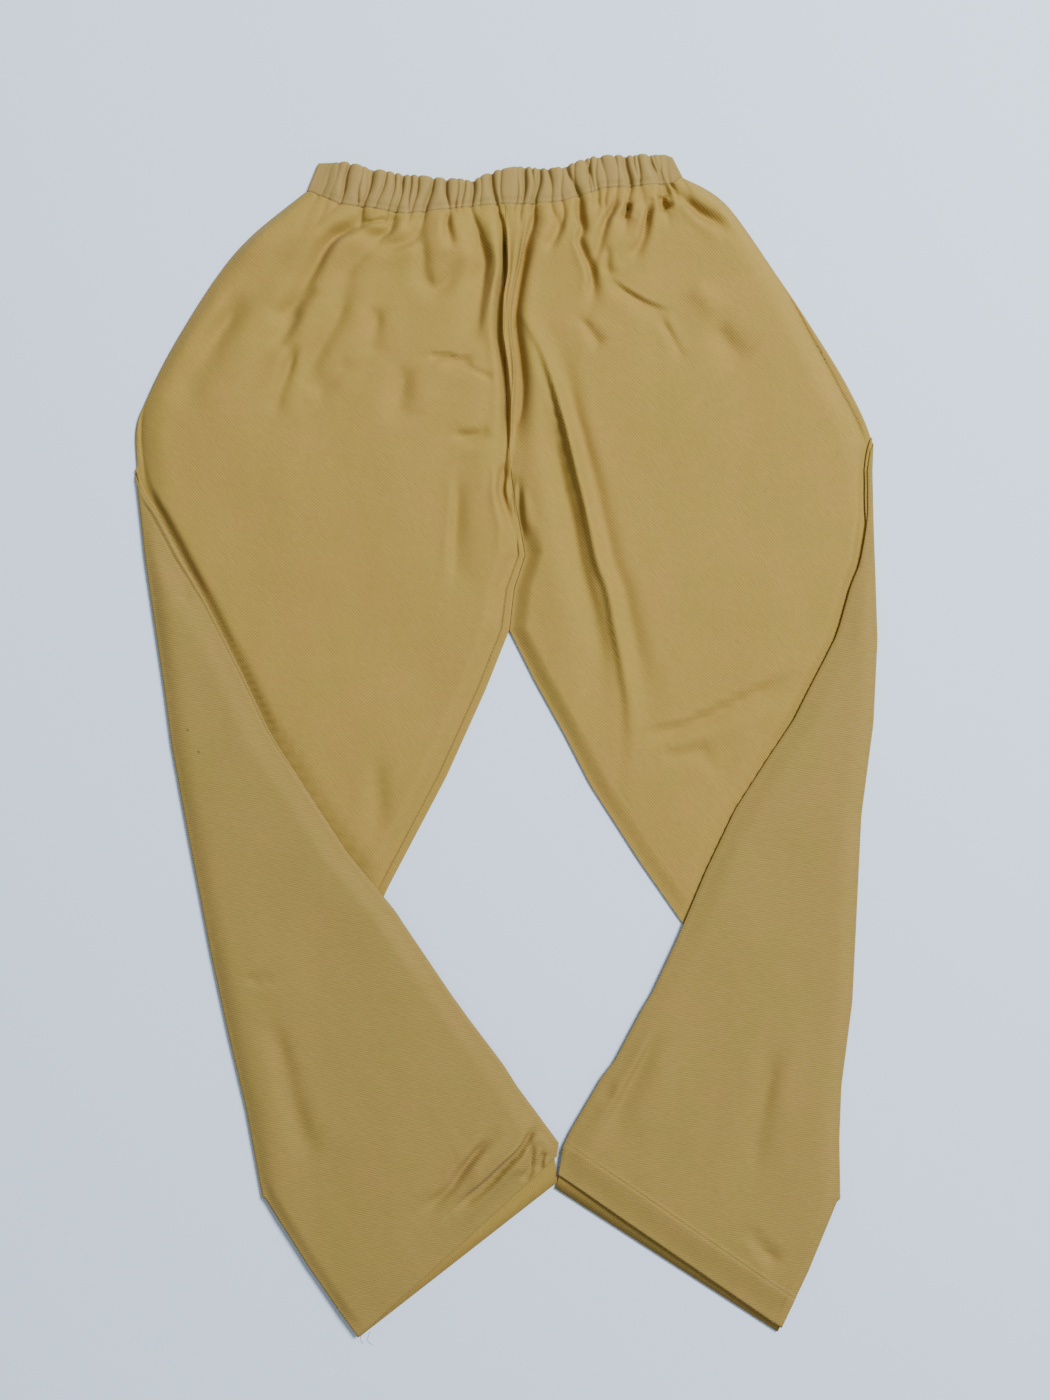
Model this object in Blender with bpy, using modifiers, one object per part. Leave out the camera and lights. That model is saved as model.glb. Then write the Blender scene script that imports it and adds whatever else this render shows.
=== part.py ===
"""Pull-on cotton trousers laid flat, each lower leg folded inwards over its own thigh.

Frame: +X to the viewer's right, +Y towards the waist, +Z up from the surface.
The origin is the centre of the part's box, on the surface. Sizes are in millimetres
and are turned to metres where the points are set.
"""
import math
from collections import namedtuple

import bmesh
import bpy
import numpy as np
from mathutils import Vector

MM = 0.001

# Walls and the way the layers lie on each other
CLOTH = 1.0                 # one layer of twill, as it lies
TURN_UP = 1.6               # hem, cloth turned up on its inside and pressed
CASING = 1.8                # waist casing: two layers with the elastic between
GAP = 0.3                   # between pieces that touch
WAIST_GAP = 0.8             # between the casing and the panels, which meet at a slant
FOLD_AIR = 1.2              # air left inside the folded front panel
CASING_AIR = 1.0            # between the casing's front and back halves
HEM_DEPTH = 28.6            # width of the hem turn-up

# Heights of the garment's outer face in each layer, from the floor up
BACK_LOW = 0.0
FRONT_LOW = 2 * CLOTH + GAP
FRONT_HIGH = FRONT_LOW + FOLD_AIR
BACK_HIGH = FRONT_HIGH + 2 * CLOTH + GAP
HEM_LIFT = 2 * (TURN_UP - CLOTH)
LAYERS = {"front": (FRONT_LOW, FRONT_HIGH), "back": (BACK_LOW, BACK_HIGH)}
CASING_TOP = 2 * CASING + CASING_AIR

# Columns and rows of cloth in each panel
FRONT_COLUMNS, BACK_COLUMNS = 25, 10
SEAT_ROWS, THIGH_ROWS = 3, 9                # sections that end the finer rows of cloth
CENTRE_DENSITY = 1.45       # over 1 draws the front columns towards the centre seam
CASING_COLUMNS, CASING_ROWS = 84, 4
ROUND_STEPS = 6                             # facets round a fold

# A section is a line across the opened-out leg, from its outer to its inner seam.
# front_out, front_in: how far the front panel stops short where the seam has rolled
# over to the front; back_out: the same for the back panel on the folded-over leg.
# loft: how far the front panel stands off the back panel in mid-section.
Section = namedtuple("Section", "outer inner front_out front_in back_out loft")

LEFT_LEG = [
    Section((-164, 456), (-1, 441), 0, 0, 0, 2.3),
    Section((-202, 420), (-1, 413), 0, 0, 0, 4.5),
    Section((-240, 385), (-2, 376), 0, 0, 0, 5.0),
    Section((-273, 329), (-2, 327), 0, 0, 0, 5.0),
    Section((-297, 285), (0, 281), 0, 0, 0, 4.0),
    Section((-306, 259), (1, 248), 0, 0, 0, 3.5),
    Section((-305, 213), (5, 211), 0, 0, 0, 3.0),
    Section((-314, 185), (15, 157), 0, 6, 4, 2.5),
    Section((-322, 155), (6, 129), 0, 7.5, 5.5, 2.0),
    Section((-326, 135), (1, 103), 0, 7.5, 5.5, 1.5),
    Section((-332, 105), (-17, 46), 0, 7.5, 5.5, 1.0),
    Section((-340, 55), (-50, -26), 0, 7.5, 3, 0.5),
    Section((-354, -30), (-99, -119), 0, 7.5, 0, 0),
    Section((-375, -131), (-138, -213), 0, 7.5, 0, 0),
    Section((-390, -196), (-164, -275), 0, 0, 0, 0),
    Section((-414, -292), (-201, -367), 0, 0, 0, 0),
    Section((-433, -362), (-221, -437), 0, 0, 0, 0),
    Section((-440, -403), (-232, -475), 0, 0, 0, 0),
    Section((-422, -446), (-241, -509), 0, 0, 0, 0),
]
LEFT_BACK_HEM = ((-424, -426), (-241, -508))

RIGHT_LEG = [
    Section((145, 470), (-1, 441), 0, 0, 0, 2.3),
    Section((176, 446), (-1, 413), 0, 0, 0, 4.5),
    Section((225, 385), (-2, 376), 0, 0, 0, 5.0),
    Section((252, 342), (-2, 327), 6, 0, 0, 5.0),
    Section((278, 296), (0, 281), 10, 0, 0, 4.0),
    Section((299, 252), (1, 248), 6, 0, 0, 3.5),
    Section((303, 211), (5, 211), 0, 0, 0, 3.0),
    Section((305, 185), (15, 157), 0, 0, 3, 2.5),
    Section((313, 150), (6, 129), 0, 0, 3, 2.0),
    Section((322, 128), (1, 103), 0, 0, 0, 2.0),
    Section((332, 97), (24, 54), 0, 0, 0, 1.5),
    Section((343, 68), (47, 8), 0, 0, 0, 1.0),
    Section((354, 40), (69, -32), 0, 0, 0, 0.5),
    Section((376, -18), (111, -95), 0, 0, 0, 0),
    Section((394, -69), (145, -146), 0, 0, 0, 0),
    Section((410, -113), (180, -208), 0, 0, 0, 0),
    Section((430, -170), (215, -269), 0, 0, 0, 0),
    Section((452, -230), (250, -331), 0, 0, 0, 0),
    Section((470, -273), (275, -375), 0, 0, 0, 0),
    Section((492, -328), (298, -434), 0, 0, 0, 0),
    Section((507, -382), (318, -486), 0, 0, 0, 0),
]
RIGHT_BACK_HEM = ((498, -384), (318, -484))

# The line that each lower leg is folded on, and how far its edge bows outwards:
# rows of (distance down the line, bow).
Fold = namedtuple("Fold", "start end outward bow")
LEFT_FOLD = Fold((-305, 213.5), (-202, -371), -1, [
    (0, 0), (61, 4), (169, 7), (214, 9), (274, 8.6), (389, 7), (456, 4.4), (521, 0.6),
    (594, 0)])
RIGHT_FOLD = Fold((301.5, 227.5), (275, -375), 1, [
    (0, 0), (42, 2.7), (89, 6.4), (140, 10.3), (209, 10), (285, 3.4), (439, 2.7),
    (509, -3.3), (554, -3), (603, 0)])

# The casing, as it lies gathered: rows of (top x, top y, bottom x, bottom y)
CASING_EDGES = [
    (-156, 480, -165, 457), (-131, 480, -138, 445), (-108, 474, -112, 442),
    (-82, 470, -86, 437), (-56, 467, -58, 440), (-28, 465.5, -29, 443),
    (-10, 473, -9, 445), (15, 477, 14, 445), (40, 475, 44, 447), (72, 485, 79, 458),
    (103, 486, 108, 460), (131, 487, 137, 463), (137, 484, 145, 470)]

# Gathers, from the casing's top edge down into the panels. Each row is a crease:
# x at the casing's top and bottom, the end of its run in the panel, and its depth.
Gather = namedtuple("Gather", "top bottom run_x run_y depth")
GATHERS = [
    Gather(-144, -154, -176, 432, 1.0), Gather(-129, -136, -158, 424, 1.6),
    Gather(-111, -116, -150, 398, 2.4), Gather(-96, -105, -128, 418, 1.4),
    Gather(-85, -89, -96, 410, 1.6), Gather(-60, -67, -72, 380, 1.7),
    Gather(-50, -47, -50, 420, 1.0), Gather(-42, -46, -44, 408, 1.2),
    Gather(-28, -28, -22, 405, 1.8), Gather(-13, -11, -8, 420, 1.6),
    Gather(15, 14, 12, 420, 1.6), Gather(23, 23, 18, 418, 2.2),
    Gather(34, 34, 30, 420, 1.2), Gather(48, 57, 62, 392, 2.2),
    Gather(72, 79, 86, 412, 1.2), Gather(97, 98, 90, 400, 2.4),
    Gather(117, 126, 122, 418, 1.4), Gather(125, 130, 142, 430, 2.0),
    Gather(131, 136, 160, 440, 1.4)]
PUFF = 1.6                  # how far the cloth swells between two gathers
GATHER_WIDTH = 4.0

# The largest folds of the front panels and the folded-over legs: a path of two or more
# points, the height of the ridge (below zero for a trough) and its half width.
Crease = namedtuple("Crease", "path height width")
FRONT_CREASES = [
    Crease([(-5, 438), (-2, 396), (-1, 303), (0, 240)], -5.0, 4),
    Crease([(24, 446), (12, 401), (4, 347), (4, 300), (3, 240), (10, 218)], 4.0, 4),
    Crease([(30, 430), (18, 390), (13, 347), (15, 300), (14, 250)], -4.0, 5),
    Crease([(10, 362), (34, 318), (56, 234), (74, 153), (98, 52), (104, 5)], 3.6, 9),
    Crease([(20, 300), (38, 234), (52, 160), (68, 60)], -2.2, 9),
    Crease([(-4, 225), (-10, 204), (0, 180), (12, 160)], -3.0, 4),
    Crease([(-24, 400), (-20, 345), (-34, 300)], -2.6, 8),
    Crease([(-116, 442), (-146, 409), (-171, 368), (-190, 320)], -3.4, 10),
    Crease([(-140, 395), (-165, 345), (-185, 300), (-196, 262)], 2.4, 9),
    Crease([(-211, 374), (-250, 310), (-279, 277)], -2.4, 10),
    Crease([(-120, 400), (-85, 386), (-60, 380), (-30, 398)], -2.4, 8),
    Crease([(-73, 320), (-28, 317), (-8, 302)], -1.8, 4),
    Crease([(-107, 358), (-113, 322)], -1.6, 8),
    Crease([(117, 445), (109, 408), (97, 397)], -3.0, 6),
    Crease([(85, 445), (72, 402), (68, 359)], -2.6, 5),
    Crease([(82, 383), (125, 358), (138, 354)], -2.2, 5),
    Crease([(124, 354), (146, 314)], -1.6, 6),
    Crease([(130, 452), (155, 435), (188, 420)], -2.4, 6),
    Crease([(168, 348), (198, 309)], -1.8, 10),
    Crease([(110, 8), (150, 18), (200, 43), (236, 56)], -1.4, 9),
]
FLAP_CREASES = [
    Crease([(-194, -218), (-177, -290), (-159, -353)], -1.0, 8),
    Crease([(135, -226), (113, -260), (72, -333)], 1.6, 9),
    Crease([(221, -243), (205, -326), (199, -362)], 1.4, 8),
    Crease([(-133, -446), (-84, -395), (-30, -341)], 1.0, 6),
    Crease([(20, -345), (80, -372), (150, -410)], 1.0, 6),
]
FOLD_BAND = 25.0            # cloth this near the fold follows its bow exactly
EASE = 30.0                 # slack of a fold is taken up over this distance
TAPER = 0.25                # share of a crease's length over which it fades in and out
END_HEIGHT = 0.25           # share of a crease's height that is left at its ends
CENTRE_KEEP = 0.6           # share of the loft that the centre seam keeps above the crotch
CROTCH_PLACE = 7            # section of the crotch point
GATHER_PLACE = 2            # section by which the gathers have died away
CASING_END = 12             # the swell of the casing dies away over 1/12 of its length
EDGE_FADE = 14.0            # a fold dies away over this distance from a panel's edge
FLAP_FADE = 16.0            # and over this distance before it runs under a folded leg

ROUGHNESS = 0.88
TWILL = (0.413, 0.300, 0.117)
TWILL_BACK = (0.385, 0.279, 0.108)
TWILL_CASING = (0.420, 0.305, 0.120)


def smooth(value):
    """Ease from 0 to 1 as value goes from 0 to 1."""
    value = min(max(value, 0.0), 1.0)
    return value * value * (3 - 2 * value)


def straight(values, place):
    """Straight lines through values, read at place, a fraction of row numbers."""
    i = min(max(int(place), 0), len(values) - 2)
    return values[i] + (values[i + 1] - values[i]) * (place - i)


def curved(values, place):
    """A smooth curve through values, read at place, a fraction of row numbers."""
    last = len(values) - 1
    i = min(max(int(place), 0), last - 1)
    f = place - i
    a, b = values[max(i - 1, 0)], values[i]
    c, d = values[i + 1], values[min(i + 2, last)]
    return b + 0.5 * f * (c - a + f * (2 * a - 5 * b + 4 * c - d + f * (3 * (b - c) + d - a)))


def path_distance(point, path):
    """Distance from a point to a path, and how far along the path, 0 to 1, it is nearest."""
    lengths = [math.dist(a, b) for a, b in zip(path, path[1:])]
    best, share, done = math.inf, 0.0, 0.0
    for a, b, length in zip(path, path[1:], lengths):
        step = ((point[0] - a[0]) * (b[0] - a[0]) + (point[1] - a[1]) * (b[1] - a[1]))
        f = min(max(step / length ** 2, 0.0), 1.0)
        near = math.dist(point, (a[0] + f * (b[0] - a[0]), a[1] + f * (b[1] - a[1])))
        if near < best:
            best, share = near, (done + f * length) / sum(lengths)
        done += length
    return best, share


def casing_top(x):
    """Height on the page of the casing's top edge."""
    return float(np.interp(x, [row[0] for row in CASING_EDGES], [row[1] for row in CASING_EDGES]))


def casing_bottom(x):
    """Height on the page of the casing's bottom edge, where the panels are sewn on."""
    return float(np.interp(x, [row[2] for row in CASING_EDGES], [row[3] for row in CASING_EDGES]))


def waist_line(x):
    """Top edge of the panels, just below the casing and its rounded ends."""
    left, right = CASING_EDGES[0][2], CASING_EDGES[-1][2]
    end = CASING_TOP / 2
    return casing_bottom(min(max(x, left + end), right - end)) - WAIST_GAP


def crease_height(x, y, creases):
    """Height that all the creases together give the cloth at one place."""
    height = 0.0
    for crease in creases:
        gap, share = path_distance((x, y), crease.path)
        ends = smooth(share / TAPER) * smooth((1 - share) / TAPER)
        strength = END_HEIGHT + (1 - END_HEIGHT) * ends
        height += crease.height * strength * math.exp(-(gap / crease.width) ** 2)
    return height


def gather_height(x, y):
    """Swell of the cloth between the gathers, on the casing and below it."""
    height = PUFF
    for gather in GATHERS:
        bottom = (gather.bottom, casing_bottom(gather.bottom))
        path = [(gather.top, casing_top(gather.top)), bottom, (gather.run_x, gather.run_y)]
        gap, share = path_distance((x, y), path)
        fade = 1.0 if y > bottom[1] else smooth(2 * (1 - share))
        height -= fade * gather.depth * math.exp(-(gap / GATHER_WIDTH) ** 2)
    return max(height, -PUFF / 2)


class Leg:
    """One half of the trousers: its sections, opened out, and the line it is folded on."""

    def __init__(self, sections, fold, back_hem):
        self.sections = sections
        self.back_hem = back_hem
        self.fold = fold
        self.start = np.array(fold.start, float)
        line = np.array(fold.end, float) - self.start
        self.down = line / np.linalg.norm(line)
        self.out = np.array([-self.down[1], self.down[0]]) * fold.outward
        self.last = len(sections) - 1
        seam = [self.to_fold(section.outer) for section in sections[SEAT_ROWS:]]
        self.seam = sorted(seam)

    def bow(self, t):
        rows = self.fold.bow
        return float(np.interp(t, [row[0] for row in rows], [row[1] for row in rows]))

    def to_fold(self, point):
        """Distance down the fold line, and outwards past where the cloth turns."""
        offset = np.array(point, float) - self.start
        t = float(offset @ self.down)
        return t, float(offset @ self.out) - self.bow(t) + BACK_HIGH / 2

    def from_fold(self, t, reach):
        return self.start + self.down * t + self.out * (reach + self.bow(t) - BACK_HIGH / 2)

    def ends(self, row, side):
        """Both ends of a section, as the front or the back panel has them."""
        section = self.sections[row]
        outer, inner = np.array(section.outer, float), np.array(section.inner, float)
        if side == "back" and row == self.last:
            outer, inner = (np.array(end, float) for end in self.back_hem)
        across = (inner - outer) / np.linalg.norm(inner - outer)
        clear = np.array([self.fold.outward * GAP / 2, 0.0])
        if side == "front":
            return outer + across * section.front_out, inner - across * section.front_in + clear
        return outer + across * section.back_out, inner + clear

    def point(self, side, u, place):
        """Opened-out point: u from outer to inner seam, place in section rows."""
        ends = [self.ends(row, side) for row in range(self.last + 1)]
        outer = curved([end[0] for end in ends], place)
        inner = straight([end[1] for end in ends], place)
        x, y = outer + (inner - outer) * u
        if place < 1:
            y += (waist_line(x) - y) * (1 - place)
        return x, y

    def open_share(self, t, d):
        """1 where the front panel lies open, 0 under the folded-over leg."""
        reach = float(np.interp(t, [s[0] for s in self.seam], [s[1] for s in self.seam]))
        return smooth((-d - max(reach, 0.0)) / FLAP_FADE)

    def loft(self, u, place):
        """How far the front panel stands off the back panel, without its creases."""
        height = straight([section.loft for section in self.sections], place)
        centre = CENTRE_KEEP * smooth(CROTCH_PLACE - place)
        side_rise, inner_fall = smooth(u / 0.12), smooth((u - 0.9) / 0.1)
        return height * side_rise * (1 - (1 - centre) * inner_fall)


LEFT = Leg(LEFT_LEG, LEFT_FOLD, LEFT_BACK_HEM)
RIGHT = Leg(RIGHT_LEG, RIGHT_FOLD, RIGHT_BACK_HEM)


def make_material(name, colour):
    material = bpy.data.materials.new(name)
    material.use_nodes = True
    shader = material.node_tree.nodes["Principled BSDF"]
    shader.inputs["Base Color"].default_value = (*colour, 1.0)
    shader.inputs["Roughness"].default_value = ROUGHNESS
    shader.inputs["Metallic"].default_value = 0.0
    material.diffuse_color = (*colour, 1.0)
    return material


def add_cloth(name, bm, colour, wall, collection):
    """Make an object of the garment's outer face, with a wall that grows inwards."""
    mesh = bpy.data.meshes.new(name)
    bm.to_mesh(mesh)
    bm.free()
    mesh.materials.append(make_material(name + "_cloth", colour))
    mesh.shade_smooth()
    obj = bpy.data.objects.new(name, mesh)
    collection.objects.link(obj)
    solidify = obj.modifiers.new("wall", "SOLIDIFY")
    solidify.thickness = wall * MM
    solidify.offset = -1.0
    return obj, solidify


def row_places(side, last):
    """Places of the rows of cloth down a panel: finest below the waist."""
    if side == "back":
        return [float(row) for row in range(last + 1)]
    fine = [row / 3 for row in range(3 * SEAT_ROWS)]
    middle = [row / 2 for row in range(2 * SEAT_ROWS, 2 * THIGH_ROWS)]
    return fine + middle + [float(row) for row in range(THIGH_ROWS, last + 1)]


def lay_point(leg, side, u, place, t, d, hem):
    """Lay one point of a panel: flat, round the fold, or on the folded-over leg."""
    low, high = LAYERS[side]
    radius = (high - low) / 2
    turn = math.pi * min(max(d / radius, 0.0), 1.0)
    z = low + radius - radius * math.cos(turn)
    if d <= 0:
        reach = d
    elif d < radius:
        reach = radius * math.sin(turn)
    else:
        reach = radius * math.exp((radius - d) / EASE) - d
    x, y = leg.from_fold(t, reach)
    if side == "front" and d < 0:
        edge = smooth(-d / EDGE_FADE) * smooth(u / 0.08)
        gathers = gather_height(x, y) * smooth(GATHER_PLACE - place)
        folds = crease_height(x, y, FRONT_CREASES) + gathers
        z += max(leg.loft(u, place) + folds * edge, 0.0) * leg.open_share(t, d)
    if side == "back" and d > radius:
        edge = smooth((d - radius) / EDGE_FADE)
        z += max(crease_height(x, y, FLAP_CREASES), 0.0) * edge + HEM_LIFT * hem
    return Vector((x, y, z)) * MM


def split(bm, faces, point, normal):
    """Split faces along a line, given by a point on it and its normal."""
    edges = {edge for face in faces for edge in face.edges}
    verts = {vert for face in faces for vert in face.verts}
    bmesh.ops.bisect_plane(bm, geom=list(verts) + list(edges) + faces, dist=0.02,
                           plane_co=point, plane_no=normal)


def fit_waist(bm, leg, place_layer):
    """Put a vertex of the panel's top edge under each corner of the casing's bottom edge."""
    top = [vert for vert in bm.verts if vert[place_layer] == 0.0]
    top.sort(key=lambda vert: vert.co.y)
    for row in CASING_EDGES[1:-1]:
        corner = Vector((*leg.to_fold((row[2], waist_line(row[2]))), 0.0))
        nearest = min(top[1:-1], key=lambda vert: (vert.co - corner).length)
        inside = top[0].co.y < corner.y < top[-1].co.y
        if inside:
            nearest.co = corner


def make_panel(name, leg, side, columns, colour, collection):
    """Cut one panel flat, split it where it folds and at its hem, and lay it folded."""
    places = row_places(side, leg.last)
    bm = bmesh.new()
    bmesh.ops.create_grid(bm, x_segments=columns, y_segments=len(places) - 1, size=0.5)
    across_layer = bm.verts.layers.float.new("across")
    place_layer = bm.verts.layers.float.new("place")
    for vert in bm.verts:
        u = vert.co.x + 0.5
        if side == "front":
            u = 1 - (1 - u) ** CENTRE_DENSITY
        place = places[round((0.5 - vert.co.y) * (len(places) - 1))]
        vert[across_layer] = u
        vert[place_layer] = place
        vert.co = Vector((*leg.to_fold(leg.point(side, u, place)), 0.0))
    fit_waist(bm, leg, place_layer)

    hem_start, hem_end = (Vector((*leg.to_fold(end), 0.0)) for end in leg.ends(leg.last, side))
    up_leg = Vector((hem_end.y - hem_start.y, hem_start.x - hem_end.x, 0.0)).normalized()
    if up_leg.x > 0:
        up_leg.negate()
    radius = (LAYERS[side][1] - LAYERS[side][0]) / 2
    for step in range(ROUND_STEPS + 1):
        split(bm, bm.faces[:], Vector((0.0, radius * step / ROUND_STEPS, 0.0)), Vector((0, 1, 0)))
    for t, bow in leg.fold.bow:
        near = [face for face in bm.faces if abs(face.calc_center_median().y) < FOLD_BAND]
        split(bm, near, Vector((t, 0.0, 0.0)), Vector((1, 0, 0)))
    for depth in (HEM_DEPTH, HEM_DEPTH + 2):
        split(bm, bm.faces[:], hem_start + up_leg * depth, up_leg)

    weights = bm.verts.layers.deform.verify()
    for vert in bm.verts:
        hem = 1.0 if (vert.co - hem_start).dot(up_leg) < HEM_DEPTH + 1 else 0.0
        vert[weights][0] = 1.0 if hem else CLOTH / TURN_UP
        t, d = vert.co.x, vert.co.y
        vert.co = lay_point(leg, side, vert[across_layer], vert[place_layer], t, d, hem)
    bm.normal_update()
    waist_face = max(bm.faces, key=lambda face: face.calc_center_median().y)
    if (waist_face.normal.z > 0) != (side == "front"):
        bmesh.ops.reverse_faces(bm, faces=bm.faces)
    obj, wall = add_cloth(name, bm, colour, TURN_UP, collection)
    obj.vertex_groups.new(name="turn_up")
    wall.vertex_group = "turn_up"
    return obj


def casing_stations():
    """Stations round the flattened casing: (share from left to right end, turn)."""
    up, half = math.pi / 2, math.pi
    left, right = CASING_EDGES[0][2] + CASING_TOP / 2, CASING_EDGES[-1][2] - CASING_TOP / 2
    corners = [(row[2] - left) / (right - left) for row in CASING_EDGES[-2:0:-1]]
    front = [(i / CASING_COLUMNS, up) for i in range(CASING_COLUMNS)]
    right_end = [(1.0, up - half * i / ROUND_STEPS) for i in range(ROUND_STEPS + 1)]
    back = [(share, -up) for share in corners]
    left_end = [(0.0, -up - half * i / ROUND_STEPS) for i in range(ROUND_STEPS + 1)]
    return front + right_end + back + left_end


def make_casing(collection):
    """The waist casing: a strip sewn to a loop, flattened, and gathered on its front."""
    stations = casing_stations()
    radius = CASING_TOP / 2
    first, last = CASING_EDGES[0], CASING_EDGES[-1]
    bm = bmesh.new()
    bmesh.ops.create_grid(bm, x_segments=len(stations) - 1, y_segments=CASING_ROWS, size=0.5)
    for vert in bm.verts:
        share, turn = stations[round((vert.co.x + 0.5) * (len(stations) - 1))]
        down = 0.5 - vert.co.y
        top_x = first[0] + radius + (last[0] - first[0] - 2 * radius) * share
        bottom_x = first[2] + radius + (last[2] - first[2] - 2 * radius) * share
        x = top_x + (bottom_x - top_x) * down + radius * math.cos(turn)
        y = casing_top(top_x) + (casing_bottom(bottom_x) - casing_top(top_x)) * down
        z = radius + radius * math.sin(turn)
        if z > radius:
            ends = smooth(CASING_END * share) * smooth(CASING_END * (1 - share))
            z += gather_height(x, y) * ends * smooth(math.sin(turn))
        vert.co = Vector((x, y, z)) * MM
    bmesh.ops.remove_doubles(bm, verts=bm.verts, dist=0.01 * MM)
    bm.normal_update()
    front = max(bm.faces, key=lambda face: face.calc_center_median().z)
    if front.normal.z < 0:
        bmesh.ops.reverse_faces(bm, faces=bm.faces)
    return add_cloth("waistband", bm, TWILL_CASING, CASING, collection)[0]


def centre_on_surface(objects):
    """Put the origin at the centre of the part's box, on the surface it lies on."""
    depsgraph = bpy.context.evaluated_depsgraph_get()
    corners = []
    for obj in objects:
        corners += [Vector(corner) for corner in obj.evaluated_get(depsgraph).bound_box]
    low = Vector(min(corner[axis] for corner in corners) for axis in range(3))
    high = Vector(max(corner[axis] for corner in corners) for axis in range(3))
    middle = (low + high) / 2
    for obj in objects:
        for vert in obj.data.vertices:
            vert.co -= Vector((middle.x, middle.y, low.z))


def main():
    for obj in list(bpy.data.objects):
        bpy.data.objects.remove(obj, do_unlink=True)
    collection = bpy.data.collections.new("folded_trousers")
    bpy.context.scene.collection.children.link(collection)
    objects = [make_casing(collection)]
    for half, leg in (("left", LEFT), ("right", RIGHT)):
        objects.append(make_panel("front_" + half, leg, "front", FRONT_COLUMNS, TWILL, collection))
        objects.append(make_panel("back_" + half, leg, "back", BACK_COLUMNS, TWILL_BACK, collection))
    centre_on_surface(objects)


main()
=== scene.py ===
# %% [markdown]
# # Folded cotton trousers
# These are pull-on salwar trousers of khaki cotton twill, laid on their back with each
# lower leg folded inwards over its own thigh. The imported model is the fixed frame, and
# each of its five cloth solids gets a finer skin with the creases, seams and weave.
# X runs to the viewer's right, Y towards the waist and Z up from the floor. The tables
# are in millimetres, and MM turns them to Blender's metres.

# %% Load the frame
import math
import random
from collections import namedtuple

import bmesh
import bpy
import numpy as np
from mathutils import Matrix, Vector, noise
from mathutils.bvhtree import BVHTree


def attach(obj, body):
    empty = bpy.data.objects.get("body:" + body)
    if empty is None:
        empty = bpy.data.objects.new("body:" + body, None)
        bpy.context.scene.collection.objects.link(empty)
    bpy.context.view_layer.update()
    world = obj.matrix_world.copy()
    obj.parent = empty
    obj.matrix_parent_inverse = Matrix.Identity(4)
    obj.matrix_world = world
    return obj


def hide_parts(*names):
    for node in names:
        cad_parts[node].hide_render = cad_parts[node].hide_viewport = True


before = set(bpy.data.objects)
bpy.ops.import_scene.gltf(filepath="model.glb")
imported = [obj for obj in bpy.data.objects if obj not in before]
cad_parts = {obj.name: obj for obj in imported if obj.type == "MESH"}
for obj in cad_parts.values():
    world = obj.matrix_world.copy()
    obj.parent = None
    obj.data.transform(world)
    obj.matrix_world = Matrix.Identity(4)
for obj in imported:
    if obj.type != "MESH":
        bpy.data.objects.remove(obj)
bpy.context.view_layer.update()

MM = 0.001

# %% [markdown]
# ## Camera
# The picture was taken from straight above, with the garment a little left of and below
# the middle. A camera with a 50 mm lens that looks down the Z axis does the same. Its
# height is the height of the picture on the floor, divided by what the lens takes in.

# %% Camera
PICTURE_CENTRE = (14.9, 37.6)
PICTURE_HEIGHT = 1156.4
LENS, SENSOR = 50.0, 36.0

camera_data = bpy.data.cameras.new("camera")
camera_data.lens = LENS
camera_data.sensor_width = SENSOR
camera = bpy.data.objects.new("camera", camera_data)
camera_height = PICTURE_HEIGHT * LENS / SENSOR * MM
camera.location = (PICTURE_CENTRE[0] * MM, PICTURE_CENTRE[1] * MM, camera_height)
bpy.context.scene.collection.objects.link(camera)
bpy.context.scene.camera = camera
print("camera height", round(camera_height, 3))

# %% [markdown]
# ## Floor and light
# The trousers lie on a plain pale sheet under soft room light. One big grid, a hair below
# the cloth, stands for the sheet. A pale sky gives the even light from all round, and one
# soft lamp, above and to the right of the waist, shades the left side of each fold.

# %% Floor and light
FLOOR_COLOUR = (0.77, 0.865, 1.0)
FLOOR_ROUGHNESS = 0.9
FLOOR_REACH = 4.0
FLOOR_DROP = 0.2
SKY_COLOUR = (0.81, 0.905, 1.0)
SKY_STRENGTH = 0.4
LAMP_PLACE = (1.8, 1.5, 3.2)
LAMP_SIZE = 1.2
LAMP_POWER = 270.0
LAMP_COLOUR = (0.88, 0.945, 1.0)


def plain_material(name, colour, roughness):
    """One even finish, for what isn't part of the garment."""
    material = bpy.data.materials.new(name)
    material.use_nodes = True
    shader = material.node_tree.nodes["Principled BSDF"]
    shader.inputs["Base Color"].default_value = (*colour, 1.0)
    shader.inputs["Roughness"].default_value = roughness
    return material


floor_bm = bmesh.new()
bmesh.ops.create_grid(floor_bm, x_segments=1, y_segments=1, size=FLOOR_REACH)
bmesh.ops.translate(floor_bm, verts=floor_bm.verts, vec=(0.0, 0.0, -FLOOR_DROP * MM))
floor_mesh = bpy.data.meshes.new("floor")
floor_bm.to_mesh(floor_mesh)
floor_bm.free()
floor_mesh.materials.append(plain_material("pale_sheet", FLOOR_COLOUR, FLOOR_ROUGHNESS))
floor = bpy.data.objects.new("floor", floor_mesh)
bpy.context.scene.collection.objects.link(floor)

world = bpy.data.worlds.new("room")
bpy.context.scene.world = world
world.use_nodes = True
sky = world.node_tree.nodes["Background"]
sky.inputs["Color"].default_value = (*SKY_COLOUR, 1.0)
sky.inputs["Strength"].default_value = SKY_STRENGTH

lamp_data = bpy.data.lights.new("soft_lamp", "AREA")
lamp_data.size = LAMP_SIZE
lamp_data.energy = LAMP_POWER
lamp_data.color = LAMP_COLOUR
lamp = bpy.data.objects.new("soft_lamp", lamp_data)
lamp.location = LAMP_PLACE
lamp.rotation_euler = (-Vector(LAMP_PLACE)).to_track_quat("-Z", "Y").to_euler()
bpy.context.scene.collection.objects.link(lamp)
print("floor, sky and lamp are set")

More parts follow.
